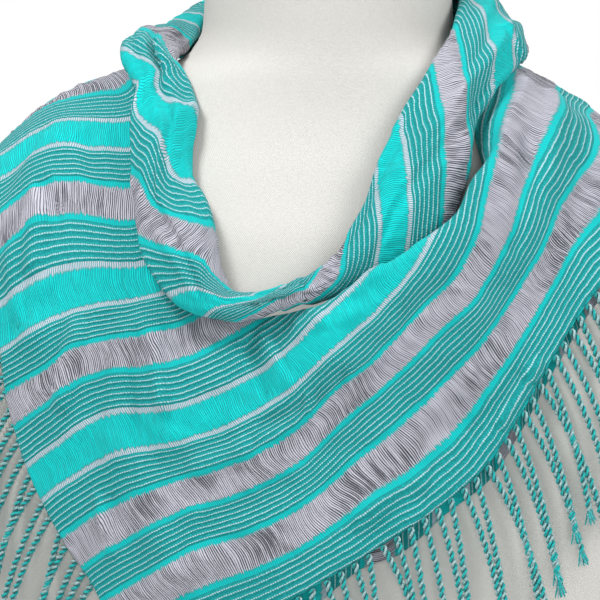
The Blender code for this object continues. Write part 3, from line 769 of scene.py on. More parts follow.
@dataclass(frozen=True)
class WeaveFinish:
    """The striped weave: pin-stripes, and gauze bands of loose yarns laid across them."""

    name: str = "striped_weave"
    bright: Colour = (0.0, 0.58, 0.57)
    middle: Colour = (0.004, 0.26, 0.262)
    # Dark turquoise of the pin-striped ground, also mixed in as painted shade in the turquoise
    # gauze's gaps.
    deep: Colour = (0.01, 0.15, 0.155)
    pale: Colour = (0.40, 0.59, 0.63)
    grey: Colour = (0.47, 0.47, 0.535)
    # Painted shade: the grey yarns' sides beside the gaps.
    shaded_grey: Colour = (0.33, 0.33, 0.38)
    # Painted shade: the near-black seen in the gaps between the gauze's yarns.
    shade: Colour = (0.06, 0.065, 0.08)
    pin_pitch: float = 2.667
    pin_edge: tuple[float, float] = (0.04, 0.14)
    yarn: float = 1.05
    filament: float = 0.85
    firm_end: tuple[float, float] = (16.0, 16.5)
    gauze_start: tuple[float, float] = (18.6, 19.2)
    gauze_end: tuple[float, float] = (33.4, 34.0)
    filament_tooth: float = 2.6
    ragged_tooth: float = 3.4
    mean_tooth: float = 2.4
    # Painted shade: the whole colour is dimmed by this share, for a shaded copy of the same cloth.
    painted_dim: float = 1.0

    def stripes(self, f: Finish, along: Term, across: Term, cell: Term) -> tuple[Term, Term]:
        """The firm bands: pale dotted lines on turquoise.

        Args:
            f: The finish that the nodes go into.
            along: Millimetres along the stripes.
            across: Millimetres across the cell.
            cell: The cell's number.

        Returns:
            Their colour and height.
        """
        rows = across / self.pin_pitch
        pin = abs(rows.fraction() - 0.5)
        dot = abs((along / self.yarn + rows.floor() * 0.5).fraction() - 0.5)
        fray = f.noise(f.vector(along * 0.9, across * 1.5, cell))
        calm = f.noise(f.vector(along * 0.035, cell, 3.0), detail=1.0)
        gap = f.step(dot, 0.2, 0.4) * (0.8 - f.step(calm, 0.4, 0.65) * 0.4)
        line = f.less_than(pin - (fray - 0.5) * 0.22, *self.pin_edge) * (1.0 - gap)
        ground = f.mix(f.step(pin, 0.30, 0.48) * 0.55, self.middle, self.deep)
        ground = f.mix(f.step(dot, 0.1, 0.4) * 0.35, ground, self.deep)
        ground = f.mix(f.step(fray, 0.45, 0.75) * 0.35, ground, self.bright)
        rib = f.less_than(pin, 0.1, 0.45) * (1.0 - dot * 0.9)
        return f.mix(line, ground, self.pale), rib + fray * 0.3

    def gauze(
        self, f: Finish, along: Term, across: Term, cell: Term, bright: Term
    ) -> tuple[Term, Term, Term]:
        """The slack bands: gathered yarns across the band, with painted shade in and beside the
        gaps.

        Args:
            f: The finish that the nodes go into.
            along: Millimetres along the stripes.
            across: Millimetres across the cell.
            cell: The cell's number.
            bright: 1 where the band is turquoise, 0 where it is grey.

        Returns:
            Their colour, their height, and how far a place is from the gap beside it.
        """
        bend = f.noise(f.vector(along * 0.035, across * 0.055, cell), detail=0.0)
        strand = along + bend * 6.0
        drift = f.noise(f.vector(strand * 0.35, across * 0.035, cell))
        side = abs((strand / self.filament + drift * 1.1).fraction() - 0.5)
        open_by = f.noise(f.vector(strand * 0.9, across * 0.05, cell + 7.0))
        calm = f.noise(f.vector(along * 0.04, across * 0.03, cell + 9.0))
        slack = f.step(calm, 0.35, 0.7) * 0.26 + 0.10
        solid = f.step(side - f.step(open_by, 0.32, 0.60) * slack, -0.06, 0.12)
        fine = f.noise(f.vector(strand * 2.2, across * 0.14, cell))
        # Lighter from a yarn's sides towards its middle as painted shading, with fine random
        # variation; it also sets the yarn's relief.
        tone = f.step(side * 0.8 + fine * 0.6, 0.16, 0.62)
        # Painted shade: grey bands go near-black in the gaps between their yarns.
        grey = f.mix(solid, self.shade, f.mix(tone, self.shaded_grey, self.grey))
        # Painted shade: turquoise yarns are lit in their middles and darker at their sides.
        lit = f.mix(tone * 0.45 + 0.55, self.middle, self.bright)
        # Painted shade: turquoise bands go a quarter of the way to deep turquoise in their gaps.
        blue = f.mix(solid * 0.26 + 0.74, self.deep, lit)
        return f.mix(bright, grey, blue), solid * (tone * 0.6 + 0.4), side

    def make(self) -> Material:
        """The material, on the cloth's own map of distance along and cells across.

        Returns:
            The material.
        """
        f = Finish(self.name)
        far, rows = f.cloth_map()
        along = far * 100.0
        waver = f.noise(f.vector(along * 0.09, rows, 0.0))
        cells = rows + (waver - 0.5) * 0.04
        cell = cells.floor()
        across = cells.fraction() * Stripes.CELL
        bright = (1.0 - cell % 2.0) * f.sum(Op.ABOVE, cell, 1.5)
        striped, rib = self.stripes(f, along, across, cell)
        loose, lie, side = self.gauze(f, along, across, cell, bright)
        ragged = f.noise(f.vector(along * 0.7, cell, 0.0), detail=1.0)
        teeth = side * self.filament_tooth + ragged * self.ragged_tooth - self.mean_tooth
        inside = f.step(across + teeth, *self.gauze_start)
        inside = inside * f.less_than(across - teeth, *self.gauze_end)
        firm = f.less_than(across, *self.firm_end)
        comb = f.mix(f.step(side, 0.1, 0.28), self.middle, self.grey)
        edge = f.mix(f.step(side, 0.0, 0.35) * 0.6, self.middle, self.bright)
        colour = f.mix(inside, f.mix(firm, f.mix(bright, edge, comb), striped), loose)
        # Random large-scale variation in tone, times the painted-shade dimming of a shaded copy.
        value = (f.noise(f.object_place(), 30.0, 3.0) * 0.2 + 0.9) * self.painted_dim
        dimmed = f.add("ShaderNodeHueSaturation", {"Color": colour, "Value": value})
        return f.finished(dimmed, rib * firm + inside * lie, 0.5, 0.85, 0.05)


@dataclass(frozen=True)
class TwistFinish:
    """Two-ply twisted cotton: one ply turquoise, one pale."""

    name: str = "twisted_cotton"
    bright: Colour = (0.008, 0.40, 0.39)
    pale: Colour = (0.32, 0.46, 0.47)
    # Dark flecks at random, and painted shade in the grooves between the plies.
    deep: Colour = (0.03, 0.16, 0.165)
    hair: float = 620.0

    def make(self) -> Material:
        """The material, by each point's ply, with painted shade in the plies' grooves.

        Returns:
            The material.
        """
        f = Finish(self.name)
        mottle = f.noise(f.object_place(), self.hair, 3.0)
        flecks = f.noise(f.object_place(), self.hair * 2.3)
        share = f.attribute("ply") + (mottle - 0.5) * 2.4
        colour = f.mix(f.step(share, 0.35, 0.95), self.bright, self.pale)
        colour = f.mix(f.less_than(flecks, 0.36, 0.50) * 0.75, colour, self.deep)
        # Painted shade: points near the cord's axis, in the grooves between the plies, go to the
        # dark colour.
        colour = f.mix(f.step(f.attribute("ridge"), 0.3, 0.75), self.deep, colour)
        return f.finished(colour, flecks, 0.45, 0.85, 0.15)


@dataclass(frozen=True)
class LinenFinish:
    """The form's plain woven cover."""

    name: str = "plain_linen"
    light: Colour = (0.575, 0.565, 0.535)
    dark: Colour = (0.46, 0.45, 0.425)
    thread: float = 1.05

    def make(self) -> Material:
        """The material, on the form's own map of distances round it and up it.

        Returns:
            The material.
        """
        f = Finish(self.name)
        turns = 2 * math.pi * 100 / self.thread
        warp, weft = (f.sum(Op.SINE, part * turns) for part in f.cloth_map())
        cloud = f.noise(f.object_place(), 900.0)
        weave = warp * weft * 0.32 + cloud * 0.5
        colour = f.mix(f.step(weave, -0.2, 0.6), self.dark, self.light)
        return f.finished(colour, weave, 0.18, 0.9, 0.05)


# Meshes


def in_scene(name: str, data: bpy.types.ID) -> Object:
    """A new object in the scene, from its mesh, curve, lamp or camera data.

    Args:
        name: Its name.
        data: The data.

    Returns:
        The object.
    """
    obj = bpy.data.objects.new(name, data)
    bpy.context.scene.collection.objects.link(obj)
    return obj


def make_object(name: str, points: Array, faces: list, uv: Array, finish: Material) -> Object:
    """A smooth-shaded object from its points and faces.

    Args:
        name: The piece's name.
        points: Its points in millimetres.
        faces: Its faces as tuples of point numbers.
        uv: The cloth map at each point.
        finish: Its material.

    Returns:
        The object, in the scene.
    """
    mesh = bpy.data.meshes.new(name)
    mesh.from_pydata((points * MM).tolist(), [], faces)
    layer = mesh.uv_layers.new(name=CLOTH_UV)
    corner = np.empty(len(mesh.loops), np.int32)
    mesh.loops.foreach_get("vertex_index", corner)
    layer.data.foreach_set("uv", uv[corner].astype(np.float32).ravel())
    mesh.shade_smooth()
    mesh.materials.append(finish)
    return in_scene(name, mesh)


def grid_faces(number: Array, closed: bool, flip: bool) -> list[tuple[int, ...]]:
    """Four-sided faces over a grid of point numbers.

    Args:
        number: The grid of numbers.
        closed: Whether the first column follows the last.
        flip: Whether the faces look the other way.

    Returns:
        The faces.
    """
    ahead = np.roll(number, -1, axis=0)
    last = number.shape[0] if closed else number.shape[0] - 1
    a = number[:last, :-1].ravel()
    b = ahead[:last, :-1].ravel()
    c = ahead[:last, 1:].ravel()
    d = number[:last, 1:].ravel()
    order = (a, d, c, b) if flip else (a, b, c, d)
    return list(zip(*[part.tolist() for part in order]))


def bridge(outer: Array, inner: Array, flip: bool) -> list[tuple[int, ...]]:
    """Faces between a border of the outer grid and the inner one, which has half as many points.

    Args:
        outer: Numbers along the outer border.
        inner: Numbers along the inner one.
        flip: Whether the faces look the other way.

    Returns:
        The faces.
    """
    faces = []
    for k in range(len(inner) - 1):
        a, b, c = (int(outer[2 * k + i]) for i in range(3))
        low, high = int(inner[k]), int(inner[k + 1])
        for face in ((a, b, low), (b, high, low), (b, c, high)):
            faces.append(face[::-1] if flip else face)
    return faces


def wall(
    name: str, inner: Array, outer: Array, uv: Array, finish: Material,
    closed: bool = False,
) -> Object:
    """One closed wall of cloth: a fine outer grid over an inner one half as fine.

    Args:
        name: The piece's name.
        inner: The inner grid of points, as fine as the outer; every other one is used.
        outer: The outer grid of points, with odd counts, or an even count of closed columns.
        uv: The cloth map over the grid.
        finish: Its material.
        closed: Whether the first column follows the last.

    Returns:
        The object.
    """
    few = inner[::2, ::2]
    shape = outer.shape[:2]
    above = np.arange(shape[0] * shape[1]).reshape(shape)
    below = above.size + np.arange(few.shape[0] * few.shape[1]).reshape(few.shape[:2])
    faces = grid_faces(above, closed, False) + grid_faces(below, closed, True)
    lines = (above, below)
    if closed:
        lines = tuple(np.concatenate([number, number[:1]]) for number in lines)
    faces += bridge(lines[0][:, 0], lines[1][:, 0], True)
    faces += bridge(lines[0][:, -1], lines[1][:, -1], False)
    if not closed:
        faces += bridge(above[0], below[0], False)
        faces += bridge(above[-1], below[-1], True)
    points = np.concatenate([outer.reshape(-1, 3), few.reshape(-1, 3)])
    maps = np.concatenate([uv.reshape(-1, 2), uv[::2, ::2].reshape(-1, 2)])
    obj = make_object(name, points, faces, maps, finish)
    face_outwards(obj.data)
    return obj


def face_outwards(mesh: bpy.types.Mesh) -> None:
    """Turn a closed wall the right way out, if its volume says that it is inside out.

    Args:
        mesh: The wall's mesh.
    """
    mesh.calc_loop_triangles()
    corners = np.empty(len(mesh.loop_triangles) * 3, np.int32)
    mesh.loop_triangles.foreach_get("vertices", corners)
    points = np.empty(len(mesh.vertices) * 3, np.float32)
    mesh.vertices.foreach_get("co", points)
    triangle = points.reshape(-1, 3)[corners.reshape(-1, 3)].astype(float)
    volume = np.einsum("ij,ij->", triangle[:, 0], np.cross(triangle[:, 1], triangle[:, 2]))
    if volume < 0:
        mesh.flip_normals()


def grid_normals(points: Array, rough: Array, closed: bool = False) -> Array:
    """The outward directions of a grid of points, on the side of rough ones.

    Args:
        points: The grid.
        rough: Directions that are on the right side.
        closed: Whether the first column follows the last.

    Returns:
        Directions of length 1.
    """
    if closed:
        padded = np.concatenate([points[-1:], points, points[:1]])
        across = (padded[2:] - padded[:-2]) / 2
    else:
        across = np.gradient(points, axis=0)
    normals = unit(np.cross(across, np.gradient(points, axis=1)))
    facing = np.sign((normals * rough).sum(-1, keepdims=True))
    return unit(normals * np.where(facing == 0, 1, facing))


# Millimetres that the cloth's outer side stands out or is sunk by its weave
FIRM_HEIGHT = 0.22
RIPPLE_HEIGHT = 0.32
PUCKER_HEIGHT = 0.50
SOFT_HEIGHT = 0.34
MOST_SUNK = 0.35


def weave_relief(along: Array, cells: Array, edge: Array) -> Array:
    """How far the cloth's outer side stands out: firm bands proud, gauze bands slack and rippled.

    Args:
        along: Millimetres along the stripes.
        cells: Cells across them.
        edge: 0 at the cloth's borders and 1 a little inside.

    Returns:
        Millimetres out.
    """
    across = (cells % 1) * Stripes.CELL
    firm = band(across, 0.2, 16.2, 1.2)
    gauze = band(across, 19.5, 33.0, 3.0)
    grey = np.where((np.floor(cells) % 2 == 1) | (cells < 2), 1.0, 0.55)
    drift = 1.6 * wander(along, across + 40 * np.floor(cells), 26, 5)
    ripple = wander(along + drift, across * 0.22, 4.6, 11)
    pucker = wander(along + drift, across * 0.35, 9.5, 12)
    soft = wander(along, across + 40 * np.floor(cells), 30, 13)
    relief = FIRM_HEIGHT * firm + gauze * grey * (RIPPLE_HEIGHT * ripple + PUCKER_HEIGHT * pucker)
    return np.maximum((relief + SOFT_HEIGHT * soft) * edge, -MOST_SUNK)


# Pieces


@dataclass
class Wrap:
    """The cloth over the chest, shoulders and back, as angles and reaches."""

    start: float = 45.0
    end: float = 495.0
    under_stand: float = 1.3
    top_stand: float = 3.8
    tail_stand: float = 8.2
    rise_from: float = 378.0
    rise_span: float = 22.0
    edge_fall: float = 62.0
    corner_seen: tuple[float, float] = (122, 680)
    fold_edge_seen: Rows = (
        # right, down, stand-off
        (276, 325, 2), (288, 323, 4), (300, 320, 8), (313, 316, 12), (330, 309, 15),
        (351, 297, 17), (371, 281, 18), (402, 263, 20), (433, 238, 21), (457, 218, 20),
        (474, 187, 18), (491, 161, 16), (507, 119, 10), (522, 87, 5),
    )
    edge_tuck: Rows = (
        # angle, how far the hidden edge lies under the loop's lower fold
        (45, 3), (240, 3), (252, 0), (262, -5), (342, -1.5), (372, -1.5), (390, 3), (495, 3),
    )
    edge_turn: Rows = (
        # angle, turn inwards, lip past it
        (135, 0, 5), (200, 0, 4), (215, 0, 1.5), (260, 0, 1), (266, 30, 1), (272, 140, 2),
        (280, 180, 7), (304, 180, 8), (311, 150, 5), (317, 72, 15), (322, 52, 20), (328, 42, 20),
        (334, 32, 16), (342, 20, 10), (352, 6, 4), (370, 0, 1),
        (390, 0, 5),
    )
    left_edge_seen: Rows = (
        # right, down
        (101, 600), (63, 539), (27, 465), (10, 407), (2, 350), (-5, 300),
    )
    right_edge_seen: Rows = (
        # right, down
        (210, 640), (300, 595), (376, 549), (434, 510), (484, 468), (524, 407), (556, 350),
        (600, 285),
    )
    left_tail: Rows = (
        # angle, reach
        (45, 70), (60, 80), (75, 93), (90, 108), (105, 121), (120, 133), (135, 143),
        (150, 150), (165, 154), (180, 159), (194, 170), (201, 180),
    )
    right_tail: Rows = (
        # angle, reach
        (342, 158), (352, 146), (365, 142), (380, 143), (395, 142), (410, 137), (425, 129),
        (440, 118), (455, 105), (470, 92), (485, 79), (495, 71),
    )
    bunches: Rows = (
        # angle, wide, reach, deep, height
        (184, 54, 108, 51, 7.0), (150, 42, 105, 45, 3.0), (262, 32, 200, 64, 2.0),
    )
    folds_seen: Rows = (
        # right a, down a, right b, down b, half width, height
        (62, 150, 40, 330, 20, 2.4), (147, 335, 168, 430, 18, 2.6),
        (330, 370, 250, 450, 22, 2.4), (560, 120, 500, 330, 20, 2.2),
        (470, 330, 380, 440, 24, 2.2), (120, 440, 165, 560, 21, 2.0),
    )
    folds_behind: Rows = (
        # angle a, reach a, angle b, reach b, half width, height
        (20, 80, 35, 160, 18, 2.4), (58, 72, 48, 140, 18, 2.0), (95, 70, 80, 110, 18, 2.2),
        (140, 75, 128, 150, 20, 2.4),
    )
    ridge_size: float = 1.8
    trough_size: float = 1.25
    trough_inside: float = 3.2
    trough_near_hem: float = 1.3
    creases_seen: Rows = (
        # right a, down a, right b, down b, half width, height
        (140, 338, 138, 420, 7, -1.7), (158, 345, 163, 408, 6, 1.5),
        (52, 190, 60, 238, 6, -1.6), (44, 200, 40, 262, 8, 1.3),
        (248, 352, 272, 392, 7, -1.8), (262, 340, 292, 385, 6, 1.3),
        (262, 428, 304, 408, 6, -1.6), (316, 398, 342, 382, 6, -1.7),
        (118, 506, 130, 534, 7, -1.8), (100, 500, 112, 545, 7, 1.2),
        (78, 330, 66, 400, 9, 1.5), (106, 330, 100, 420, 10, -1.3),
        (436, 404, 470, 378, 7, 1.4), (474, 432, 520, 382, 7, -1.4),
        (500, 418, 536, 366, 5, 1.3), (418, 448, 452, 424, 6, -1.4),
        (520, 150, 508, 250, 7, -1.5), (548, 100, 540, 210, 8, 1.2),
        (582, 130, 574, 240, 9, -1.3), (196, 470, 246, 452, 8, 1.2),
        (330, 320, 380, 300, 7, -1.4), (300, 336, 350, 326, 6, 1.2),
        (180, 350, 214, 338, 6, -1.3), (20, 330, 52, 300, 8, -1.3),
        (92, 150, 104, 190, 8, -1.4), (16, 250, 22, 316, 8, 1.2),
        (210, 520, 290, 492, 9, -1.2), (150, 590, 230, 556, 9, 1.1),
        (360, 520, 420, 480, 8, 1.1), (400, 330, 440, 290, 8, -1.2),
    )
    creases_behind: Rows = (
        # angle a, reach a, angle b, reach b, half width, height
        (12, 76, 22, 130, 8, -1.5), (30, 74, 44, 128, 7, -1.4), (40, 72, 56, 120, 8, 1.2),
        (68, 72, 64, 118, 7, -1.4), (78, 70, 72, 112, 7, 1.3), (104, 70, 92, 104, 8, -1.3),
        (112, 72, 104, 118, 7, 1.3), (125, 74, 118, 128, 8, -1.4), (134, 78, 130, 134, 7, 1.2),
        (150, 80, 142, 142, 8, -1.5), (160, 84, 156, 146, 7, 1.3), (172, 96, 170, 150, 8, -1.4),
        (352, 84, 356, 128, 7, -1.4), (2, 80, 8, 122, 7, 1.2), (196, 120, 200, 166, 8, -1.3),
    )

    def __post_init__(self) -> None:
        """Place the edges and folds on the form."""
        hem_radius, hem_z = line_round(LOOP_HEM_SEEN, LOOP_HEM_BEHIND)
        tuck = Smooth.of(self.edge_tuck)
        edge = [(*seen(*row), row[2]) for row in self.fold_edge_seen]
        for angle in [*range(45, 258, 8), *range(346, 496, 8)]:
            turn = np.array([angle % 360.0])
            reach = FORM.reach_below(turn, hem_radius(turn), hem_z(turn))[0]
            edge.append((angle, reach - float(tuck(angle)), 0.0))
        self.edge_reach = Smooth.of(edge)
        self.edge_height = Smooth.of(edge, 2)
        self.corner = seen(*self.corner_seen, self.top_stand)
        left = [seen(*row, self.top_stand) for row in self.left_edge_seen]
        right = [seen(*row, self.top_stand) for row in self.right_edge_seen]
        self.left_hem = Smooth.of([*self.left_tail, *left, self.corner])
        self.right_hem = Smooth.of([self.corner, *right, *self.right_tail])
        self.turn = Smooth.of(self.edge_turn)
        self.lip = Smooth.of(self.edge_turn, 2)
        self.folds = self.placed(self.folds_seen, self.folds_behind)
        self.creases = self.placed(self.creases_seen, self.creases_behind)
        fine = np.linspace(self.start, self.end, 1801)
        z = np.array([FORM.height(a, r) for a, r in zip(fine, self.hem_reach(fine))])
        edge_line = place_at(fine, FORM.radius(fine, z), z)
        length = np.linalg.norm(np.diff(edge_line, axis=0), axis=1)
        self.fine = fine
        self.hem_length = np.concatenate([[0], np.cumsum(length)])
        self.corner_length = float(np.interp(self.corner[0], fine, self.hem_length))

    def placed(self, in_view: Rows, behind: Rows) -> list[tuple]:
        """Rows of folds as pairs of places on the form, with half width and height.

        Args:
            in_view: Rows told by the view's steps.
            behind: Rows told by angle and reach.

        Returns:
            A pair of places, a half width and a height for each.
        """
        made = []
        for right_a, down_a, right_b, down_b, half, height in in_view:
            ends = seen(right_a, down_a, self.top_stand), seen(right_b, down_b, self.top_stand)
            made.append((ends, half, height))
        for angle_a, reach_a, angle_b, reach_b, half, height in behind:
            made.append((((angle_a, reach_a), (angle_b, reach_b)), half, height))
        return made

    def hem_reach(self, angle: Array) -> Array:
        """The reach of the upper layer's outer edge."""
        angle = np.asarray(angle, float)
        return np.where(angle < self.corner[0], self.left_hem(angle), self.right_hem(angle))

    def along_hem(self, angle: Array | float) -> Array:
        """The distance along the outer edge from the low corner, to either side."""
        return np.abs(np.interp(angle, self.fine, self.hem_length) - self.corner_length)

    @staticmethod
    def ridges(folds: list[tuple], angle: Array, reach: Array, wavy: float) -> Array:
        """The height of folds at places on the form.

        Args:
            folds: Pairs of places with half width and height.
            angle: Angles.
            reach: Reaches.
            wavy: How far their lines wander to the side.

        Returns:
            Millimetres out.
        """
        flat = unrolled(angle, reach)
        height = np.zeros(flat.shape[:-1])
        for number, (ends, half, tall) in enumerate(folds):
            start = unrolled(*ends[0])
            along = unrolled(*ends[1]) - start
            length = np.linalg.norm(along)
            along = along / length
            run = (flat - start) @ along
            side = (flat - start) @ np.array([-along[1], along[0]])
            side = side + wavy * np.sin(run / length * 4 + number)
            past = np.maximum(0, np.maximum(-run, run - length))
            swell = 1 + 0.25 * wavy * np.sin(run / length * 7 + 2 * number)
            height += tall * swell * bump(np.hypot(side, past) / half)
        return height

    def lift(self, angle: Array, reach: Array) -> Array:
        """How much further than its stand-off the cloth stands off: bunches, folds, fold edge.

        Args:
            angle: Angles.
            reach: Reaches.

        Returns:
            Millimetres out.
        """
        height = self.ridges(self.folds, angle, reach, 0.0)
        turn = angle % 360
        for middle, wide, depth, deep, tall in self.bunches:
            height += tall * bump(np.hypot((turn - middle) / wide, (reach - depth) / deep))
        fall = 1 - ease((reach - self.edge_reach(angle)) / self.edge_fall)
        return height + self.edge_height(angle) * fall

    def layer(self, angle: Array, stand: float) -> Array:
        """The stand-off of a layer, raised where the right tail crosses over the left one."""
        crossed = ease((angle - self.rise_from) / self.rise_span)
        return stand + (self.tail_stand - self.top_stand) * crossed

    def columns(self, near: float, far: float) -> Array:
        """The angles of the columns: a step apart along the outer edge, wider apart behind.

        Args:
            near: The step in front.
            far: The step behind.

        Returns:
            An odd number of angles.
        """
        ahead = band(self.fine, 203, 346, 20)
        step = far + (near - far) * ahead
        density = np.gradient(self.hem_length) / step
        count = np.concatenate([[0], np.cumsum((density[1:] + density[:-1]) / 2)])
        total = int(round(count[-1] / 2)) * 2
        return np.interp(np.linspace(0, count[-1], total + 1), count, self.fine)

    def grid(self, angles: Array, stand: float, shares: Array) -> tuple[Array, Array, Array]:
        """Points, outward directions and reaches of a layer.

        Args:
            angles: Its columns.
            stand: Its stand-off from the form.
            shares: Its rows, from the neck edge at 0 to the outer edge at 1.

        Returns:
            Grids of points, outward directions and reaches.
        """
        start = self.edge_reach(angles)
        reach = start[:, None] + (self.hem_reach(angles) - start)[:, None] * shares
        z = np.array([FORM.height(angle, line) for angle, line in zip(angles, reach)])
        wide = np.broadcast_to(angles[:, None], z.shape)
        foot, rough = place_at(wide, FORM.radius(wide, z), z), FORM.normal(wide, z)
        height = self.layer(wide, stand) + self.lift(wide, reach)
        crease = self.ridges(self.creases, wide, reach, 1.0)
        near_hem = ease((shares - 0.4) / 0.2)
        most = self.trough_inside + (self.trough_near_hem - self.trough_inside) * near_hem
        trough = -most * np.tanh(-crease * self.trough_size / most)
        height += np.where(crease > 0, crease * self.ridge_size, trough)
        points = foot + rough * height[..., None]
        return points, grid_normals(points, rough), reach


# The loop's rim and lower fold, where they are seen and behind
LOOP_RIM_SEEN: Rows = (
    # right, down, stand-off
    (197, 104, 7), (190, 170, 8), (205, 200, 9), (217, 238, 10), (221, 266, 11), (234, 293, 12),
    (253, 294, 12), (275, 290, 12), (300, 281, 12), (320, 269, 12), (335, 257, 12),
    (348, 235, 12), (361, 211, 12), (371, 186, 12), (380, 158, 12), (392, 133, 12),
    (406, 108, 11), (421, 85, 10), (436, 58, 8),
)
LOOP_RIM_BEHIND: Rows = (
    # angle, radius, z
    (0, 61, 629), (45, 63, 638), (90, 65, 640), (135, 62, 632), (165, 60.5, 615),
    (182, 61, 604), (198, 65, 591), (345, 62.5, 624),
)
LOOP_HEM_SEEN: Rows = (
    # right, down, stand-off
    (141, 92, 15), (135, 120, 15), (134, 160, 15), (136, 205, 15), (145, 258, 14),
    (162, 289, 14), (180, 307, 14), (202, 315, 14), (231, 319, 15), (256, 317, 14),
    (282, 311, 12), (307, 305, 10), (328, 298, 9), (360, 288, 8), (400, 272, 7),
    (430, 247, 6.5), (452, 219, 6.5), (464, 185, 7), (469, 150, 8), (475, 122, 9),
    (487, 102, 9.5), (499, 84, 9),
)
LOOP_HEM_BEHIND: Rows = (
    # angle, radius, z
    (0, 88, 595), (45, 91, 591), (90, 93, 588), (135, 89, 594), (165, 88, 602),
    (180, 89, 601), (190, 91, 596), (348, 89, 595),
)

# Where stripes are seen on the wrap: distance from the fringed edge, then steps right and down
WRAP_STRIPES = (
    (0, (210, 640), (300, 595), (338, 572), (376, 549), (407, 528), (434, 510), (463, 488),
     (484, 468), (501, 442), (524, 407), (535, 380), (554, 350), (568, 329), (581, 300)),
    (16, (300, 554), (357, 524), (415, 491), (453, 453), (482, 415), (510, 367), (539, 325),
     (551, 300), (568, 249)),
    (19, (530, 300), (575, 230), (587, 191), (593, 115)),
    (26.5, (357, 482), (415, 440), (443, 415), (472, 373), (501, 338), (526, 306)),
    (34, (516, 300), (552, 230), (566, 191), (574, 115)),
    (36, (101, 600), (143, 575), (191, 547), (230, 539), (268, 526), (300, 508)),
    (46, (338, 453), (396, 396), (443, 348), (482, 310), (528, 249), (548, 191), (556, 134),
     (552, 76)),
    (56, (505, 249), (525, 191), (530, 134), (530, 86)),
    (58, (88, 568), (134, 539), (172, 518), (191, 503), (230, 493), (268, 476), (300, 463)),
    (65.5, (338, 400), (376, 376), (407, 346), (434, 319), (466, 300), (492, 230), (502, 191),
     (510, 134)),
    (73, (65, 537), (124, 507), (163, 486), (210, 478), (249, 464), (300, 430), (449, 300),
     (476, 230), (484, 191), (497, 134)),
    (96, (44, 497), (76, 474), (115, 451), (134, 443), (168, 445), (210, 430), (249, 413),
     (300, 385), (338, 354), (369, 329), (399, 300)),
    (111.5, (29, 464), (65, 443), (92, 419), (115, 413), (143, 415), (172, 413), (191, 405),
     (230, 392), (268, 371), (300, 346), (346, 304)),
    (132, (19, 422), (44, 403), (76, 376), (103, 367), (134, 365), (172, 359), (210, 344),
     (239, 329), (254, 320)),
    (147, (8, 388), (48, 373), (71, 348), (96, 340), (132, 338), (163, 332), (199, 320)),
    (169, (4, 352), (38, 334), (63, 317), (92, 308), (115, 302)),
    (184, (30, 288), (73, 268), (107, 262), (142, 274)),
    (194, (0, 272), (52, 239), (134, 239)),
    (212.5, (0, 245), (25, 216), (48, 199), (86, 191), (132, 214)),
    (249, (0, 172), (48, 147), (96, 130), (130, 145)),
    (285.5, (4, 138), (67, 109), (119, 86), (130, 99)),
)

# Where stripes are seen on the loop: cells, then steps right and down
LOOP_STRIPES = (
    (3.48, (190, 22), (196, 36)),
    (3.72, (178, 30), (186, 44)),
    (3.96, (164, 38), (173, 50), (182, 64), (188, 80)),
    (4.22, (150, 50), (160, 64), (172, 80), (184, 98), (192, 112)),
    (4.48, (137, 76), (148, 84), (161, 96), (174, 110), (186, 126)),
    (4.72, (136, 98), (150, 107), (164, 119), (178, 133), (188, 145)),
    (4.96, (136, 120), (148, 129), (162, 141), (176, 157), (190, 178)),
    (5.22, (140, 155), (160, 167), (175, 182), (190, 203), (200, 217)),
    (5.48, (138, 185), (150, 192), (165, 202), (178, 213), (190, 220), (203, 237), (212, 256)),
    (5.72, (138, 207), (160, 214), (180, 228), (198, 246), (214, 270), (232, 291)),
    (5.96, (142, 228), (160, 236), (175, 242), (188, 253), (198, 270), (207, 287), (224, 296)),
    (6.22, (145, 250), (160, 258), (175, 272), (188, 288)),
    (6.48, (150, 275), (160, 284), (172, 293), (185, 298)),
    (6.72, (172, 300), (185, 304), (200, 303)),
    (6.96, (213, 317), (218, 308), (227, 301), (238, 294)),
    (7.22, (250, 316), (262, 302), (272, 292)),
    (7.48, (285, 311), (292, 300), (300, 284)),
    (7.72, (308, 304), (316, 290), (322, 272)),
    (7.96, (335, 297), (345, 283), (352, 263), (344, 242)),
    (8.22, (352, 286), (362, 270), (366, 252), (355, 226)),
    (8.48, (374, 277), (384, 255), (388, 228), (384, 202), (372, 182)),
    (8.72, (390, 272), (398, 240), (396, 205), (392, 170), (384, 152)),
    (8.96, (408, 262), (404, 240), (405, 205), (404, 178), (402, 150), (394, 133)),
    (9.22, (424, 248), (424, 215), (424, 170), (420, 135), (411, 106)),
    (9.48, (438, 235), (439, 200), (443, 165), (443, 125), (439, 90), (431, 68)),
    (9.72, (452, 205), (455, 165), (456, 120), (452, 85), (447, 55)),
    (9.96, (464, 185), (467, 152), (470, 112), (466, 82), (461, 52), (457, 22)),
    (10.22, (482, 100), (478, 75), (470, 45), (463, 10)),
    (10.48, (500, 76), (495, 58), (486, 40), (478, 22)),
    (10.72, (506, 62), (502, 45), (494, 30)),
    (10.96, (514, 60), (512, 42), (506, 28)),
)
LOOP_SEAM = 150.0
LOOP_SEAM_CELL = 2.4
LOOP_ROUND = 12


Plates = tuple[ThinPlate, ThinPlate]


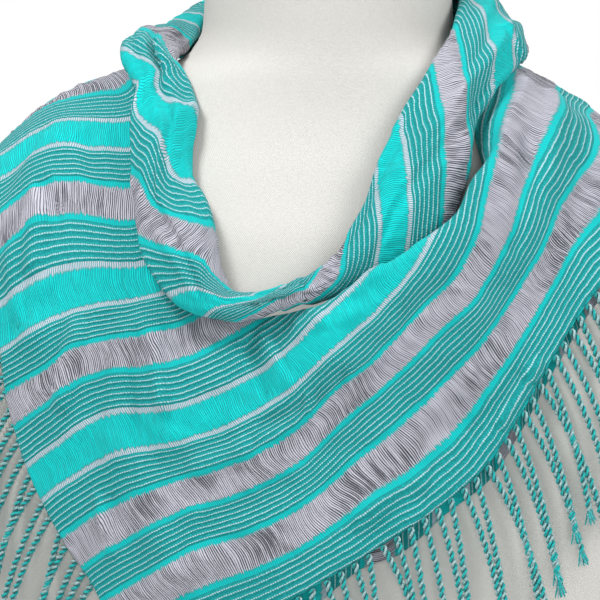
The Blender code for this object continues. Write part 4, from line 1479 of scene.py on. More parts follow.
@dataclass
class StripeMap:
    """The cells of the stripes over the wrap, from where they are seen on it."""

    wrap: Wrap
    give: float = 0.10
    give_along: float = 0.02
    left_to: float = 326.0
    right_from: float = 238.0
    turn_from: float = 262.0
    turn_span: float = 44.0
    stand: float = 5.0

    def __post_init__(self) -> None:
        """Fit one plate to the left of the front and one to the right."""
        rows = []
        for distance, *places in WRAP_STRIPES:
            for right, down in places:
                rows.append((*seen(right, down, self.stand), float(Stripes.cells(distance))))
        for angle in range(60, 150, 10):
            far = float(self.wrap.along_hem(angle))
            hem = float(self.wrap.hem_reach(angle))
            for inward in (0, 40, 80):
                rows.append((angle, hem - inward, float(Stripes.cells(far))))
        for angle in range(328, 496, 8):
            hem = float(self.wrap.hem_reach(angle))
            for inward in (0, 20, 45, 70):
                rows.append((angle, hem - inward, float(Stripes.cells(inward))))
        table = np.array(rows)
        self.plates = self.fitted(table[:, 0], table[:, 1], table[:, 2], self.give)

    def fitted(self, angle: Array, reach: Array, value: Array, give: float) -> Plates:
        """A plate for the cloth left of the front, and one for the cloth right of it.

        Args:
            angle: Angles of known places.
            reach: Their reaches.
            value: Their values.
            give: How far the plates may miss them.

        Returns:
            The two plates.
        """
        flat = unrolled(angle, reach)
        left, right = angle < self.left_to, angle > self.right_from
        return ThinPlate(flat[left], value[left], give), ThinPlate(flat[right], value[right], give)

    def read(self, plates: Plates, angle: Array, reach: Array) -> Array:
        """The value of two plates at places on the wrap, one passing into the other.

        Args:
            plates: The left plate and the right one.
            angle: Angles of the places.
            reach: Their reaches.

        Returns:
            The value at each place.
        """
        flat = unrolled(angle, reach)
        share = ease((angle - self.turn_from) / self.turn_span)
        value = np.zeros(flat.shape[:-1])
        for plate, weight in zip(plates, (1 - share, share)):
            used = weight > 0
            value[used] += weight[used] * plate(flat[used])
        return value

    def cells(self, angle: Array, reach: Array) -> Array:
        """The cells at places on the wrap."""
        return np.maximum(self.read(self.plates, angle, reach), 0.0)

    def along(self, angle: Array, reach: Array, points: Array, cells: Array, corner: int) -> Array:
        """The millimetres along the stripes at places on the wrap.

        Args:
            angle: A grid of angles.
            reach: Their reaches.
            points: The cloth's points there.
            cells: The cells there.
            corner: The column of the low corner.

        Returns:
            The millimetres.
        """
        columns, rows, few = along_stripes(points, cells, corner)
        chosen = np.ix_(columns, rows)
        places = angle[chosen].ravel(), reach[chosen].ravel()
        plates = self.fitted(*places, few.ravel(), self.give_along)
        return self.read(plates, angle, reach)


@dataclass
class TopFold:
    """The upper layer of the folded square: a wall from its neck edge to its outer edges."""

    wrap: Wrap
    near: float = 1.75
    far: float = 3.6
    rows: int = 103
    arc_rows: int = 10
    lip_rows: int = 6
    thickness: float = 0.9
    roll: float = 3.4
    least_turn: float = 0.5
    lip_stand: float = 1.2
    curl: float = 0.45

    def with_lip(
        self, angles: Array, points: Array, normals: Array, reach: Array
    ) -> tuple[Array, Array, Array]:
        """Add the rows past the neck edge, flat under the loop or rolled inwards.

        Args:
            angles: The layer's columns.
            points: Its grid of points.
            normals: Their outward directions.
            reach: Their reaches.

        Returns:
            The three grids with the lip's rows before their own.
        """
        here = points[:, 0]
        up = unit(here - points[:, 1])
        out = normals[:, 0]
        turn_end = np.radians(self.wrap.turn(angles))[:, None]
        arc = self.roll * np.maximum(turn_end, self.least_turn)
        lip = self.wrap.lip(angles)[:, None]
        rows, ways, reaches = [], [], []
        gone = reach[:, :1]
        for k in range(self.arc_rows + self.lip_rows):
            length = arc / self.arc_rows if k < self.arc_rows else lip / self.lip_rows
            turned = turn_end * min(1.0, (k + 0.5) / self.arc_rows)
            here = here + length * (up * np.cos(turned) - out * np.sin(turned))
            turned = turn_end * min(1.0, (k + 1) / self.arc_rows)
            gone = gone - length
            rows.append(here)
            ways.append(out * np.cos(turned) + up * np.sin(turned))
            reaches.append(gone)
        added = FORM.kept_off(np.stack(rows[::-1], 1), self.lip_stand)
        return (
            np.concatenate([added, points], 1),
            np.concatenate([np.stack(ways[::-1], 1), normals], 1),
            np.concatenate([np.concatenate(reaches[::-1], 1), reach], 1),
        )

    def build(self, stripes: StripeMap, finish: Material) -> Object:
        """The wall, with its relief.

        Args:
            stripes: The cells over the wrap.
            finish: Its material.

        Returns:
            The object.
        """
        angles = self.wrap.columns(self.near, self.far)
        shares = np.linspace(0, 1, self.rows)
        points, normals, reach = self.wrap.grid(angles, self.wrap.top_stand + 0.1, shares)
        points, normals, reach = self.with_lip(angles, points, normals, reach)
        wide = np.broadcast_to(angles[:, None], reach.shape)
        cells = stripes.cells(wide, reach)
        corner = int(np.argmin(np.abs(angles - self.wrap.corner[0])))
        along = stripes.along(wide, reach, points, cells, corner)
        hem = self.wrap.hem_reach(angles)[:, None] - reach
        edge = ease(hem / 6.0)
        relief = weave_relief(along, cells, edge)
        curl = -self.curl * (1 - ease(hem / 1.4))
        outer = points + normals * (self.thickness + relief + curl)[..., None]
        uv = np.stack([along / 100, cells], -1)
        return wall("scarf_upper_layer", points, outer, uv, finish)


@dataclass
class UnderFold:
    """The lower layer's border, which shows past the upper layer's edge."""

    wrap: Wrap
    near: float = 1.5
    far: float = 3.6
    rows: int = 25
    first_share: float = 0.64
    thickness: float = 0.9
    phase: float = 2.19
    peep: Rows = (
        # angle, how far it shows
        (45, -6.5), (215, -6.5), (227, -6), (231, 2.5), (240, 6), (250, 9), (258, 6),
        (266, 8.5), (276, 5), (284, 9), (294, 5.5), (304, 8), (318, 5), (340, 4), (400, 4),
        (495, 3),
    )

    def border(self, angles: Array) -> tuple[Array, Array]:
        """The border's points and outward directions.

        Args:
            angles: Its columns.

        Returns:
            Grids of points and directions.
        """
        shares = np.linspace(self.first_share, 1, self.rows)
        points, normals, _ = self.wrap.grid(angles, self.wrap.under_stand, shares)
        out = unit(points[:, -1] - points[:, -3])
        shift = Smooth.of(self.peep)(angles)[:, None]
        weight = ease((shares - 0.82) / 0.18)[None, :, None]
        points = points + out[:, None] * shift[:, None] * weight
        return FORM.kept_off(points, self.wrap.under_stand * 0.9), normals

    def build(self, finish: Material) -> Object:
        """The border's wall, striped square to its hem.

        Args:
            finish: Its material.

        Returns:
            The object.
        """
        angles = self.wrap.columns(self.near, self.far)
        points, normals = self.border(angles)
        signed = np.interp(angles, self.wrap.fine, self.wrap.hem_length) - self.wrap.corner_length
        inward = np.linalg.norm(points - points[:, -1:], axis=-1)
        left = (angles < self.wrap.corner[0])[:, None]
        across = np.broadcast_to(signed[:, None] / Stripes.CELL + self.phase, inward.shape)
        cells = np.where(left, Stripes.cells(inward), np.maximum(across, 2.01))
        along = np.where(left, np.abs(signed)[:, None], inward)
        relief = weave_relief(along, cells, ease(inward / 5.0))
        hem = 0.3 * bump((inward - 1.2) / 1.2) - 0.4 * (1 - ease(inward / 0.8))
        outer = points + normals * (self.thickness + relief + hem)[..., None]
        return wall("scarf_lower_layer", points, outer, np.stack([along / 100, cells], -1), finish)


@dataclass
class NeckLoop:
    """The stretch wound round the neck: a flattened roll, open towards the body."""

    wrap: Wrap
    columns: int = 440
    face_rows: int = 63
    roll_rows: int = 7
    lip_rows: int = 5
    thickness: float = 1.1
    rim_roll: float = 2.6
    hem_roll: float = 4.2
    lip: float = 6.0
    lips_apart: float = 2.0
    bulge: float = 0.13
    clearance: float = 1.5
    seat: float = 0.6
    chart_scale: tuple[float, float] = (1.5, 38.0)
    give: float = 0.25
    give_along: float = 0.02
    wrap_below: Rows = ((0, 1), (262, 1), (270, 0), (334, 0), (342, 1), (360, 1))
    tails_below: Rows = ((0, 1), (150, 1), (180, 0), (350, 0), (360, 1))
    folds: Rows = (
        # angle a, share a, angle b, share b, half width, height
        (196, 0.45, 226, 0.55, 5, -1.6), (204, 0.25, 236, 0.30, 4, 1.2),
        (200, 0.75, 232, 0.78, 5, 1.4), (228, 0.42, 262, 0.60, 4, -1.4),
        (238, 0.70, 272, 0.82, 4, 1.2), (268, 0.35, 292, 0.30, 4, -1.2),
        (286, 0.55, 316, 0.62, 6, -1.8), (296, 0.28, 330, 0.38, 5, 1.5),
        (304, 0.80, 334, 0.72, 5, 1.3), (322, 0.50, 352, 0.48, 6, -1.7),
        (338, 0.20, 366, 0.30, 5, 1.3), (345, 0.78, 372, 0.68, 5, -1.3),
        (8, 0.35, 40, 0.42, 6, 1.5), (14, 0.65, 50, 0.60, 6, -1.6),
        (52, 0.25, 88, 0.40, 5, -1.4), (60, 0.75, 98, 0.62, 6, 1.5),
        (92, 0.35, 130, 0.30, 6, 1.4), (104, 0.62, 140, 0.72, 6, -1.5),
        (138, 0.45, 172, 0.35, 5, -1.4), (150, 0.70, 186, 0.66, 6, 1.4),
        (176, 0.30, 204, 0.42, 5, 1.3),
    )

    def section(self, rim: Array, hem: Array) -> tuple[Array, Array, Array]:
        """The middle line in section, its outward directions and its share from rim to hem.

        Args:
            rim: Radius and height of the rim.
            hem: Radius and height of the lower fold.

        Returns:
            The line's radii and heights, its directions, and its shares.
        """
        length = np.linalg.norm(hem - rim)
        down = (hem - rim) / length
        out = np.array([-down[1], down[0]])
        width = length - self.rim_roll - self.hem_roll
        lip = min(self.lip, (width - self.lips_apart) / 2)
        bulge = self.bulge * length
        line, aim, share = [], [], []
        for t in np.linspace(1, 0, self.lip_rows, endpoint=False):
            line.append(rim + down * (self.rim_roll + lip * t) - out * self.rim_roll)
            aim.append(-out)
            share.append(-0.12 - lip * t / length)
        for turn in np.radians(np.linspace(-90, 90, self.roll_rows, endpoint=False)):
            way = -down * math.cos(turn) + out * math.sin(turn)
            line.append(rim + down * self.rim_roll + way * self.rim_roll)
            aim.append(way)
            share.append((turn / math.pi - 0.5) * math.pi * self.rim_roll / length)
        for t in np.linspace(0, 1, self.face_rows):
            roll = self.rim_roll + (self.hem_roll - self.rim_roll) * t
            swell = bulge * math.sin(math.pi * t)
            line.append(rim + down * (self.rim_roll + width * t) + out * (roll + swell))
            way = out - down * bulge * math.pi * math.cos(math.pi * t) / length
            aim.append(way / np.linalg.norm(way))
            share.append(t)
        for turn in np.radians(np.linspace(90, -90, self.roll_rows + 1)[1:]):
            way = down * math.cos(turn) + out * math.sin(turn)
            line.append(hem - down * self.hem_roll + way * self.hem_roll)
            aim.append(way)
            share.append(1 + (0.5 - turn / math.pi) * math.pi * self.hem_roll / length)
        for t in np.linspace(0, 1, self.lip_rows + 1)[1:]:
            line.append(hem - down * (self.hem_roll + lip * t) - out * self.hem_roll)
            aim.append(-out)
            share.append(1 + (math.pi * self.hem_roll + lip * t) / length)
        return np.array(line), np.array(aim), np.array(share)

    def folded(self, angles: Array, share: Array, length: Array) -> Array:
        """The height of the loop's own folds.

        Args:
            angles: The loop's columns.
            share: From the rim at 0 to the hem at 1, over the grid.
            length: From the rim to the hem, for each column.

        Returns:
            Millimetres out.
        """
        height = np.zeros(share.shape)
        wide = angles[:, None] * 1.5
        deep = share * length[:, None]
        for angle_a, share_a, angle_b, share_b, half, tall in self.folds:
            for turn in (-360, 0, 360):
                start = np.array([(angle_a + turn) * 1.5, 0.0])
                mean = length[int(len(angles) * (angle_a % 360) / 360)]
                start[1] = share_a * mean
                along = np.array([(angle_b - angle_a) * 1.5, (share_b - share_a) * mean])
                size = np.linalg.norm(along)
                along = along / size
                run = (wide - start[0]) * along[0] + (deep - start[1]) * along[1]
                side = -(wide - start[0]) * along[1] + (deep - start[1]) * along[0]
                past = np.maximum(0, np.maximum(-run, run - size)) / 2
                height += tall * bump(np.hypot(side, past) / half / 1.3)
        return height

    def carried(self, shift: Array, down: Array, length: Array) -> Array:
        """The shift off what is below, with the face taken out as far as the lips behind it.

        Args:
            shift: How each point moves.
            down: Millimetres from the rim.
            length: From the rim to the hem, for each column.

        Returns:
            The shift, made larger on the face where a lip moves further.
        """
        each = np.arange(len(shift))
        for lips, past in (
            (slice(0, self.lip_rows), down), (slice(-self.lip_rows, None), length[:, None] - down)
        ):
            part = shift[:, lips]
            most = part[each, np.linalg.norm(part, axis=-1).argmax(1)]
            far = np.linalg.norm(most, axis=-1)[:, None]
            near = 1 - ease((past - self.lip - self.hem_roll) / 10.0)
            short = np.maximum(0.0, far - np.linalg.norm(shift, axis=-1)) * near
            shift = shift + most[:, None] / np.maximum(far, 1e-6)[..., None] * short[..., None]
        return shift

    def clearances(self, points: Array) -> Array:
        """How far the loop's points keep off the form: over the wrap, where that is below.

        Args:
            points: The points.

        Returns:
            A clearance for each.
        """
        flat = points.reshape(-1, 3)
        angle = angle_of(flat)
        reach = FORM.reach_below(angle, np.hypot(flat[:, 0], flat[:, 1]), flat[:, 2])
        below = Smooth(*zip(*self.wrap_below))(angle)
        crossed = Smooth(*zip(*self.tails_below))(angle)
        layers = self.wrap.top_stand + (self.wrap.tail_stand - self.wrap.top_stand) * crossed
        turn = np.where(angle < self.wrap.end - 360, angle + 360, angle)
        on_wrap = ease((reach - self.wrap.edge_reach(turn) + 12.0) / 5.0)
        raised = layers + 1.2 + self.seat + self.wrap.lift(turn, reach)
        return (self.clearance + below * on_wrap * raised).reshape(points.shape[:-1])

    def stripe_cells(self, angles: Array, share: Array, points: Array, face: slice) -> Array:
        """The cells over the loop, from where its stripes are seen and so on round behind.

        Args:
            angles: The loop's columns.
            share: Shares over the grid.
            points: The grid of points.
            face: The rows of its outer face.

        Returns:
            The cells over the grid.
        """
        front = points[:, face]
        in_view = SIGHT.steps_of(front)
        toward = front[..., 1] < 22
        rows = []
        for cell, *places in LOOP_STRIPES:
            for place in places:
                gap = np.linalg.norm(in_view - np.array(place), axis=-1) + np.where(toward, 0, 1e3)
                i, j = np.unravel_index(gap.argmin(), gap.shape)
                turn = angles[i] + (360 if angles[i] < LOOP_SEAM else 0)
                rows.append((turn, share[i, face][j], cell))
        last = LOOP_STRIPES[-1][0]
        low, high = 352.0, LOOP_SEAM + 360
        for t in np.linspace(0.08, 1.04, 15):
            for across in (0.0, 0.5, 1.0):
                cell = last + (LOOP_SEAM_CELL + LOOP_ROUND - last) * t + across - 0.5
                rows.append((low + (high - low) * t, across, cell))
        for turn in (LOOP_SEAM - 4, LOOP_SEAM + 5, LOOP_SEAM + 14):
            for across in (0.0, 0.5, 1.0):
                rise = (turn - LOOP_SEAM) * (LOOP_SEAM_CELL + LOOP_ROUND - last) / (high - low)
                rows.append((turn, across, LOOP_SEAM_CELL + rise + across - 0.5))
        table = np.array(rows)
        plate = ThinPlate(table[:, :2] * self.chart_scale, table[:, 2], self.give)
        return plate(self.chart(angles, share))

    def chart(self, angles: Array, share: Array) -> Array:
        """The loop laid out flat from its hidden seam, in millimetres.

        Args:
            angles: The loop's columns.
            share: Shares over the grid.

        Returns:
            Places in the plane.
        """
        turned = np.where(angles < LOOP_SEAM, angles + 360, angles)
        flat = np.stack([np.broadcast_to(turned[:, None], share.shape), share], -1)
        return flat * self.chart_scale

    def build(self, finish: Material) -> Object:
        """The loop's wall, with its folds and relief.

        Args:
            finish: Its material.

        Returns:
            The object.
        """
        angles = np.arange(self.columns) * 360.0 / self.columns
        rim, hem = (
            np.stack([curve(angles) for curve in line_round(*rows)], -1)
            for rows in ((LOOP_RIM_SEEN, LOOP_RIM_BEHIND), (LOOP_HEM_SEEN, LOOP_HEM_BEHIND))
        )
        parts = [self.section(a, b) for a, b in zip(rim, hem)]
        line, aim, share = (np.array(part) for part in zip(*parts))
        length = np.linalg.norm(hem - rim, axis=1)
        on_face = ease(np.minimum(share + 0.05, 1.05 - share) * 8)
        line = line + aim * (self.folded(angles, share, length) * on_face)[..., None]
        wide = np.broadcast_to(angles[:, None], share.shape)
        inner, middle, outer = (
            place_at(wide, *np.moveaxis(line + aim * self.thickness * side, -1, 0))
            for side in (-0.5, 0.0, 0.5)
        )
        shift, shift_out = (
            FORM.kept_off(side, self.clearances(side)) - side for side in (inner, outer)
        )
        further = np.linalg.norm(shift_out, axis=-1) > np.linalg.norm(shift, axis=-1)
        shift = np.where(further[..., None], shift_out, shift)
        shift = self.carried(shift, share * length[:, None], length)
        inner, outer, middle = inner + shift, outer + shift, middle + shift
        start = self.lip_rows + self.roll_rows
        cells = self.stripe_cells(angles, share, middle, slice(start, start + self.face_rows))
        cut = int(np.argmin(np.abs(angles - LOOP_SEAM)))
        turned = np.roll(np.arange(self.columns), -cut)
        columns, rows, few = along_stripes(middle[turned], cells[turned])
        chart = self.chart(angles, share)
        spots = chart[turned][np.ix_(columns, rows)].reshape(-1, 2)
        along = ThinPlate(spots, few.ravel(), self.give_along)(chart)
        relief = weave_relief(along, cells, np.ones(cells.shape))
        normals = grid_normals(outer, outer - inner, True)
        outer = outer + normals * relief[..., None]
        return self.seamed(inner, outer, along, cells, cut, finish)

    def seamed(
        self, inner: Array, outer: Array, along: Array, cells: Array, cut: int,
        finish: Material,
    ) -> Object:
        """The closed wall, its map cut at the column where the cells start again.

        Args:
            inner: The wall's inner points.
            outer: Its outer points.
            along: Millimetres along the stripes.
            cells: Cells across them.
            cut: The column of the cut.
            finish: The material.

        Returns:
            The object.
        """
        uv = np.stack([along / 100, cells], -1)
        turned = np.roll(np.arange(self.columns), -cut)
        obj = wall("scarf_neck_loop", inner[turned], outer[turned], uv[turned], finish, closed=True)
        layer = obj.data.uv_layers[CLOTH_UV]
        flat = np.empty(len(obj.data.loops) * 2, np.float32)
        layer.data.foreach_get("uv", flat)
        flat = flat.reshape(-1, 2)
        starts = np.empty(len(obj.data.polygons), np.int32)
        totals = np.empty(len(obj.data.polygons), np.int32)
        obj.data.polygons.foreach_get("loop_start", starts)
        obj.data.polygons.foreach_get("loop_total", totals)
        step = float(np.median(np.abs(np.diff(cells[turned][-4:], axis=0))))
        for start, total in zip(starts, totals):
            part = flat[start : start + total]
            if np.ptp(part[:, 1]) > LOOP_ROUND / 2:
                low = part[:, 1] < part[:, 1].mean()
                anchor = part[~low, 0].mean()
                part[low, 1] = part[~low, 1].max() + step
                part[low, 0] = anchor
        layer.data.foreach_set("uv", flat.ravel())
        return obj


@dataclass
class Fringe:
    """Twisted strands that fall from one of the scarf's edges."""

    name: str
    pull: float
    first_rise: float
    over_tail: float
    seed: int
    pitch: float = 7.0
    length: float = 68.0
    clearance: float = 0.9
    half: float = 1.6
    inset: float = 2.0
    pair_lean: float = 0.05
    other_tail: tuple[float, float] = (60.0, 150.0)

    def keeps(self, gone: float, angle: float) -> float:
        """What a strand keeps off the form at a distance from its root.

        Args:
            gone: Millimetres from the root.
            angle: The angle there.

        Returns:
            The clearance.
        """
        start = self.first_rise * (1 - float(ease((gone - 6.0) / 5.0)))
        least = max(self.clearance, start)
        if not self.other_tail[0] < angle < self.other_tail[1]:
            return least
        return least + self.over_tail * float(ease((self.other_tail[1] - angle) / 8.0))

    def path(self, root: Array, out: Array, up: Array, sway: float, long: float) -> Array:
        """The points of one strand, which falls away from its root and lies on the form.

        Args:
            root: Where it starts.
            out: The way out past the cloth.
            up: The cloth's outward direction.
            sway: How far it leans to the side.
            long: Its share of the whole length.

        Returns:
            The points.
        """
        down = np.array([0.0, 0.0, -1.0])
        way = out * (1 - self.pull) + down * self.pull + np.cross(up, out) * sway
        way = unit(way - up * (way @ up))
        here = root
        gone = 0.0
        points = [root - out * 0.5, root]
        count = 17
        step = self.length * long / count
        for _ in range(count):
            here = here + way * step
            gone += step
            least = self.keeps(gone, float(angle_of(here))) + self.half
            here = FORM.kept_off(here[None], least)[0]
            way = unit(way * 0.95 + down * 0.05)
            points.append(here)
        return np.array(points)

    def paths(self, edge: Array, normal: Array, way: Array) -> list[Array]:
        """The paths of all the strands along an edge.

        Args:
            edge: Points along the cloth's edge.
            normal: Its outward directions.
            way: Its ways out past the cloth.

        Returns:
            The points of each strand.
        """
        random = np.random.default_rng(self.seed)
        length = np.concatenate([[0], np.cumsum(np.linalg.norm(np.diff(edge, axis=0), axis=1))])
        total = length[-1]
        count = int((total - self.inset) / self.pitch)
        middles = total / 2 + (np.arange(count) - (count - 1) / 2) * self.pitch
        made = []
        lean = self.pair_lean
        for mark in middles:
            spot, up, out = (
                np.array([np.interp(mark, length, rows[:, k]) for k in range(3)])
                for rows in (edge, normal, way)
            )
            up, out = unit(up), unit(out)
            lean = -lean
            sway = lean + random.normal(0, 0.08)
            long = random.uniform(0.88, 1.06)
            made.append(self.path(spot + out * 0.6 + up * 0.5, out, up, sway, long))
        return made

    def build(
        self, edge: Array, normal: Array, way: Array, cord: "CordNodes", finish: Material
    ) -> Object:
        """The strands as one mesh.

        Args:
            edge: Points along the cloth's edge.
            normal: Its outward directions.
            way: Its ways out past the cloth.
            cord: The node tree that turns paths into twisted cord.
            finish: The material.

        Returns:
            The object.
        """
        curve = bpy.data.curves.new(self.name, "CURVE")
        curve.dimensions = "3D"
        for path in self.paths(edge, normal, way):
            spline = curve.splines.new("POLY")
            spline.points.add(len(path) - 1)
            flat = np.concatenate([path * MM, np.ones((len(path), 1))], 1)
            spline.points.foreach_set("co", flat.ravel())
        return cord.realised(in_scene(self.name + "_paths", curve), self.name, finish)


@dataclass
class CordNodes:
    """A node tree: two plies twisted along every path, with a knot and a tuft at its end."""

    ply_radius: float = 0.88
    ply_offset: float = 0.70
    turn_length: float = 5.4
    ring_step: float = 0.62
    sides: int = 6
    knot_from_end: float = 7.5
    knot_half: float = 2.8
    knot_swell: float = 0.8
    tuft_fibres: int = 21
    tuft_length: float = 7.5
    tuft_sunk: float = 1.5
    fibre_tip: float = 0.26
    fibre_root: float = 0.55
    tuft_seed: int = 31

    def __post_init__(self) -> None:
        """Build the tree."""
        self.nodes = Nodes(bpy.data.node_groups.new("twisted_cord", "GeometryNodeTree"))
        face = self.nodes.tree.interface
        face.new_socket("Geometry", in_out="INPUT", socket_type="NodeSocketGeometry")
        for name, value in (
            ("Ply Radius", self.ply_radius), ("Ply Offset", self.ply_offset),
            ("Turn Length", self.turn_length), ("Ring Step", self.ring_step),
            ("Knot From End", self.knot_from_end), ("Knot Half", self.knot_half),
            ("Tuft Length", self.tuft_length),
        ):
            socket = face.new_socket(name, in_out="INPUT", socket_type="NodeSocketFloat")
            socket.default_value = value * MM
        finish = face.new_socket("Finish", in_out="INPUT", socket_type="NodeSocketMaterial")
        self.finish_key = finish.identifier
        face.new_socket("Geometry", in_out="OUTPUT", socket_type="NodeSocketGeometry")
        self.lay_out()

    def store(self, geometry: Term, name: str, value: Value) -> Term:
        """The geometry with a number kept at each of its points.

        Args:
            geometry: The geometry.
            name: The number's name.
            value: The number.

        Returns:
            The geometry with it.
        """
        inputs = {"Name": name, "Value": value, "Geometry": geometry}
        kind = "GeometryNodeStoreNamedAttribute"
        return self.nodes.add(kind, inputs, data_type="FLOAT", domain="POINT")

    def lay_out(self) -> None:
        """Put the nodes in and join them."""
        g = self.nodes
        sockets = g.tree.nodes.new("NodeGroupInput").outputs
        sizes = {socket.name: Term(g, socket) for socket in sockets}
        path = {"Curve": sizes["Geometry"], "Length": sizes["Ring Step"]}
        again = g.add("GeometryNodeResampleCurve", path, mode="LENGTH")
        gone = g.add("GeometryNodeSplineParameter", output="Length")
        whole = g.add("GeometryNodeSplineLength", output="Length")
        away = abs(whole - gone - sizes["Knot From End"])
        knot = g.sum(Op.POWER, g.sum(Op.MORE, 1.0 - away / sizes["Knot Half"], 0.0), 0.5)
        swollen = {"Curve": again, "Radius": knot * self.knot_swell + 1.0}
        radius = g.add("GeometryNodeSetCurveRadius", swollen)
        turned = {"Curve": radius, "Tilt": gone / sizes["Turn Length"] * (2 * math.pi)}
        tilt = g.add("GeometryNodeSetCurveTilt", turned)
        profile = {"Curve": tilt, "Profile Curve": self.plies(sizes), "Fill Caps": True}
        smooth = g.add("GeometryNodeSetShadeSmooth", {0: g.add("GeometryNodeCurveToMesh", profile)})
        ends = g.add("GeometryNodeCurveEndpointSelection", {"Start Size": 0, "End Size": 1})
        ahead = {"Vector": g.add("GeometryNodeInputTangent")}
        tips = g.add("GeometryNodeInstanceOnPoints", {
            "Points": again, "Selection": ends, "Instance": self.tuft(sizes["Tuft Length"]),
            "Rotation": g.add("FunctionNodeAlignRotationToVector", ahead, axis="Z"),
        })
        real = g.add("GeometryNodeRealizeInstances", {0: g.join((tips, smooth))})
        finished = {"Geometry": real, "Material": sizes["Finish"]}
        dressed = g.add("GeometryNodeSetMaterial", finished)
        g.put(g.tree.nodes.new("NodeGroupOutput").inputs[0], dressed)

    def plies(self, sizes: dict[str, Term]) -> Term:
        """The cord's section: two circles side by side, marked by ply and by how far out.

        Args:
            sizes: The tree's inputs, by name.

        Returns:
            The two circles.
        """
        g = self.nodes
        rings = []
        place = g.add("GeometryNodeInputPosition")
        from_axis = g.add("ShaderNodeVectorMath", {0: place}, "Value", operation="LENGTH")
        # How far out from the cord's axis; the finish paints shade in the grooves where this is
        # low.
        ridge = from_axis / (sizes["Ply Offset"] + sizes["Ply Radius"])
        for ply, side in ((0.0, 1.0), (1.0, -1.0)):
            ring = {"Resolution": self.sides, "Radius": sizes["Ply Radius"]}
            circle = g.add("GeometryNodeCurvePrimitiveCircle", ring, "Curve")
            offset = g.vector(sizes["Ply Offset"] * side)
            moved = g.add("GeometryNodeTransform", {"Geometry": circle, "Translation": offset})
            rings.append(self.store(self.store(moved, "ply", ply), "ridge", ridge))
        return g.join(rings)

    def tuft(self, length: Term) -> Term:
        """Loose fibres that spread from a strand's end, as one geometry.

        Args:
            length: The longest fibre.

        Returns:
            The fibres.
        """
        random = np.random.default_rng(self.tuft_seed)
        fibres = []
        for k in range(self.tuft_fibres):
            cone = self.nodes.add("GeometryNodeMeshCone", {
                "Vertices": 4, "Side Segments": 1, "Radius Top": self.fibre_tip * MM,
                "Radius Bottom": self.fibre_root * MM, "Depth": length * random.uniform(0.6, 1.0),
            }, "Mesh")
            turn = 2 * math.pi * k / self.tuft_fibres
            way = np.array([math.cos(turn), math.sin(turn)])
            spread = random.uniform(0.10, 0.55) if k else 0.0
            moved = self.nodes.add("GeometryNodeTransform", {
                "Geometry": cone, "Rotation": (*(way * spread).tolist(), 0.0),
                "Translation": (*(way * self.fibre_root * MM).tolist(), -self.tuft_sunk * MM),
            })
            marked = self.store(moved, "ply", float(k % 2))
            # A random value in the mark that the finish reads for groove shade, so each fibre is
            # darkened by a random amount.
            fibres.append(self.store(marked, "ridge", random.uniform(0.5, 1.0)))
        return self.nodes.join(fibres)

    def realised(self, source: Object, name: str, finish: Material) -> Object:
        """The tree's result on a source, as a plain mesh object.

        Args:
            source: The object that holds the paths, which is removed.
            name: The new object's name.
            finish: Its material.

        Returns:
            The object.
        """
        modifier = source.modifiers.new("cord", "NODES")
        modifier.node_group = self.nodes.tree
        modifier[self.finish_key] = finish
        bpy.context.view_layer.update()
        graph = bpy.context.evaluated_depsgraph_get()
        mesh = bpy.data.meshes.new_from_object(source.evaluated_get(graph), depsgraph=graph)
        source.modifiers.remove(modifier)
        bpy.data.objects.remove(source)
        mesh.name = name
        if not mesh.materials:
            mesh.materials.append(finish)
        return in_scene(name, mesh)


@dataclass
class DressForm:
    """The limbless form, smooth and whole, under its plain woven cover."""

    columns: int = 160
    row_step: float = 4.0
    edge: float = 5.0
    top: float = 690.0
    map_round: float = 7.0
    map_up: float = 0.01

    def outline(self) -> tuple[Array, Array]:
        """The rows' heights, and how far the rounded ends set them in.

        Returns:
            The heights and the insets.
        """
        corner = np.radians(np.linspace(0, 90, 5))
        rise = self.edge * (1 - np.sin(corner))
        inset = self.edge * (1 - np.cos(corner))
        heights = np.linspace(self.edge, self.top - self.edge, int(self.top / self.row_step))[1:-1]
        z = np.concatenate([rise[::-1], heights, self.top - rise])
        return z, np.concatenate([inset[::-1], np.zeros(heights.shape), inset])

    def build(self, finish: Material) -> Object:
        """The form's closed surface.

        Args:
            finish: Its material.

        Returns:
            The object.
        """
        angles = np.arange(self.columns) * 360.0 / self.columns
        z, inset = self.outline()
        wide, tall = np.meshgrid(angles, z, indexing="ij")
        radius = FORM.radius(wide, np.clip(tall, 0, self.top)) - inset
        points = place_at(wide, radius, tall)
        uv = np.stack([wide / 360 * self.map_round, tall * self.map_up], -1)
        number = np.arange(wide.size).reshape(wide.shape)
        ends = [tuple(number[::-1, 0].tolist()), tuple(number[:, -1].tolist())]
        faces = grid_faces(number, True, False) + ends
        form = make_object("form_cover", points.reshape(-1, 3), faces, uv.reshape(-1, 2), finish)
        for cap in form.data.polygons[-len(ends):]:
            cap.use_smooth = False
        return form


# The room


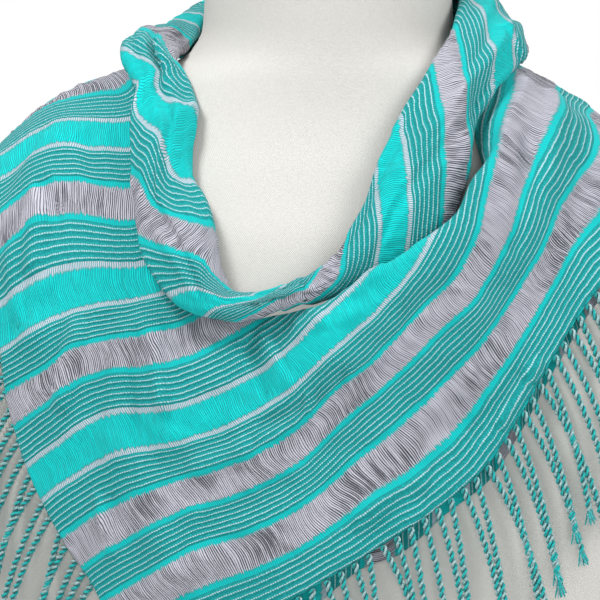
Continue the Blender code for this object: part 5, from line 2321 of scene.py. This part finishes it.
@dataclass
class Studio:
    """A pale floor, soft light and the camera that the front was measured from."""

    floor_side: float = 8.0
    floor_tone: float = 0.86
    ambient: float = 0.38
    sensor: float = 36.0
    lamps: tuple = (
        # name, place, what it is aimed at, side in metres, watts
        ("key", (-0.8, -0.6, 1.95), (0, 0, 0.46), 0.5, 31),
        ("fill", (1.2, -0.75, 1.5), (0, 0, 0.45), 0.8, 19),
        ("front", (0.1, -2.0, 0.5), (0, 0, 0.30), 0.9, 8),
        ("back", (0.4, 1.8, 1.7), (0, 0, 0.5), 1.2, 12),
    )

    def floor(self) -> None:
        """A plain pale floor."""
        half = self.floor_side / 2
        corners = [(-half, -half, 0), (half, -half, 0), (half, half, 0), (-half, half, 0)]
        f = Finish("pale_floor")
        f.put(f.shader.inputs["Base Color"], (self.floor_tone,) * 3)
        f.put(f.shader.inputs["Roughness"], 0.9)
        mesh = bpy.data.meshes.new("floor")
        mesh.from_pydata(corners, [], [(0, 1, 2, 3)])
        mesh.materials.append(f.material)
        in_scene("floor", mesh)

    def lamp(self, name: str, place: Place, aim: Place, size: float, power: float) -> None:
        """A square soft lamp.

        Args:
            name: Its name.
            place: Where it hangs, in metres.
            aim: What it is aimed at.
            size: Its side.
            power: Its watts.
        """
        light = bpy.data.lights.new(name, "AREA")
        light.shape = "SQUARE"
        light.size = size
        light.energy = power
        self.point(in_scene(name, light), place, aim)

    @staticmethod
    def point(obj: Object, place: Place, aim: Place) -> None:
        """Put a lamp or camera in its place and turn it towards a point."""
        obj.location = place
        obj.rotation_euler = (Vector(aim) - Vector(place)).to_track_quat("-Z", "Y").to_euler()

    def light(self) -> None:
        """A world that is white to the camera and dimmer to the cloth, and the soft lamps."""
        world = bpy.data.worlds.new("studio")
        world.use_nodes = True
        sky = Nodes(world.node_tree)
        in_view = sky.add("ShaderNodeLightPath", output="Is Camera Ray")
        strength = {"Value": in_view, "To Min": self.ambient}
        shader = sky.tree.nodes["Background"]
        sky.put(shader.inputs["Color"], (1.0, 1.0, 1.0))
        sky.put(shader.inputs["Strength"], sky.add("ShaderNodeMapRange", strength, "Result"))
        bpy.context.scene.world = world
        for lamp in self.lamps:
            self.lamp(*lamp)
        bpy.context.scene.view_settings.view_transform = "Standard"

    def camera(self) -> None:
        """The camera at the photograph's angle."""
        data = bpy.data.cameras.new("camera")
        data.sensor_width = self.sensor
        data.angle = 2 * math.atan(SIGHT.step * SIGHT.middle / SIGHT.distance)
        data.clip_start = 0.05
        obj = in_scene("camera", data)
        eye, aim = (tuple(float(x) * MM for x in p) for p in (SIGHT.frame_of()[0], SIGHT.aim))
        self.point(obj, eye, aim)
        bpy.context.scene.camera = obj


def hem_frame(points: Array, normals: Array) -> tuple[Array, Array, Array]:
    """The last row of a grid, with its directions.

    Args:
        points: The grid.
        normals: Its outward directions.

    Returns:
        The row's points, their outward directions and their ways out past the cloth.
    """
    edge = points[:, -1]
    normal = normals[:, -1]
    way = unit(np.cross(normal, np.gradient(edge, axis=0)))
    inward = points[:, -2] - edge
    return edge, normal, way * -np.sign((way * inward).sum(1, keepdims=True))


def declare(obj: Object, node: str) -> None:
    """Let a piece stand for its CAD node and ride on the body.

    Args:
        obj: The piece.
        node: The node that it stands for.
    """
    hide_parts(node)
    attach(obj, BODY)
    LOG.info("%s: %d faces", obj.name, len(obj.data.polygons))


def main() -> None:
    """Build every piece, light it and place the camera."""
    logging.basicConfig(level=logging.INFO, format="%(name)s %(message)s")
    studio = Studio()
    studio.camera()
    studio.floor()
    studio.light()
    weave = WeaveFinish().make()
    # The lower layer is the same cloth, painted in shade at 0.8 of its brightness.
    lower = WeaveFinish(name="striped_weave_lower_shaded", painted_dim=0.8).make()
    twist = TwistFinish().make()
    linen = LinenFinish().make()

    declare(DressForm().build(linen), "dress_form")
    wrap = Wrap()
    top = TopFold(wrap).build(StripeMap(wrap), weave)
    declare(top, "top_fold")
    under_fold = UnderFold(wrap)
    under = under_fold.build(lower)
    declare(under, "under_fold")
    loop = NeckLoop(wrap).build(weave)
    declare(loop, "neck_loop")

    angles = wrap.columns(3.0, 3.6)
    upper_hem = hem_frame(*wrap.grid(angles, wrap.top_stand, np.linspace(0.6, 1, 15))[:2])
    lower_hem = hem_frame(*under_fold.border(angles))
    cord = CordNodes()
    over = wrap.under_stand + 1.7
    for name, low, high, pull, rise, over_tail, seed, hem in (
        ("fringe_right_front", 230, 352, 0.48, over, 0, 1, upper_hem),
        ("fringe_right_back", 352, 484, 0.45, over, 5.2, 2, upper_hem),
        ("fringe_left_back", 98, 186, 0.45, 0.8, 0, 3, lower_hem),
        ("fringe_left_front", 186, 226, 0.42, 0.8, 0, 4, lower_hem),
    ):
        part = (angles >= low) & (angles <= high)
        fringe = Fringe(name + "_strands", pull, rise, over_tail, seed)
        declare(fringe.build(*(line[part] for line in hem), cord, twist), name)


if __name__ == "__main__":
    main()
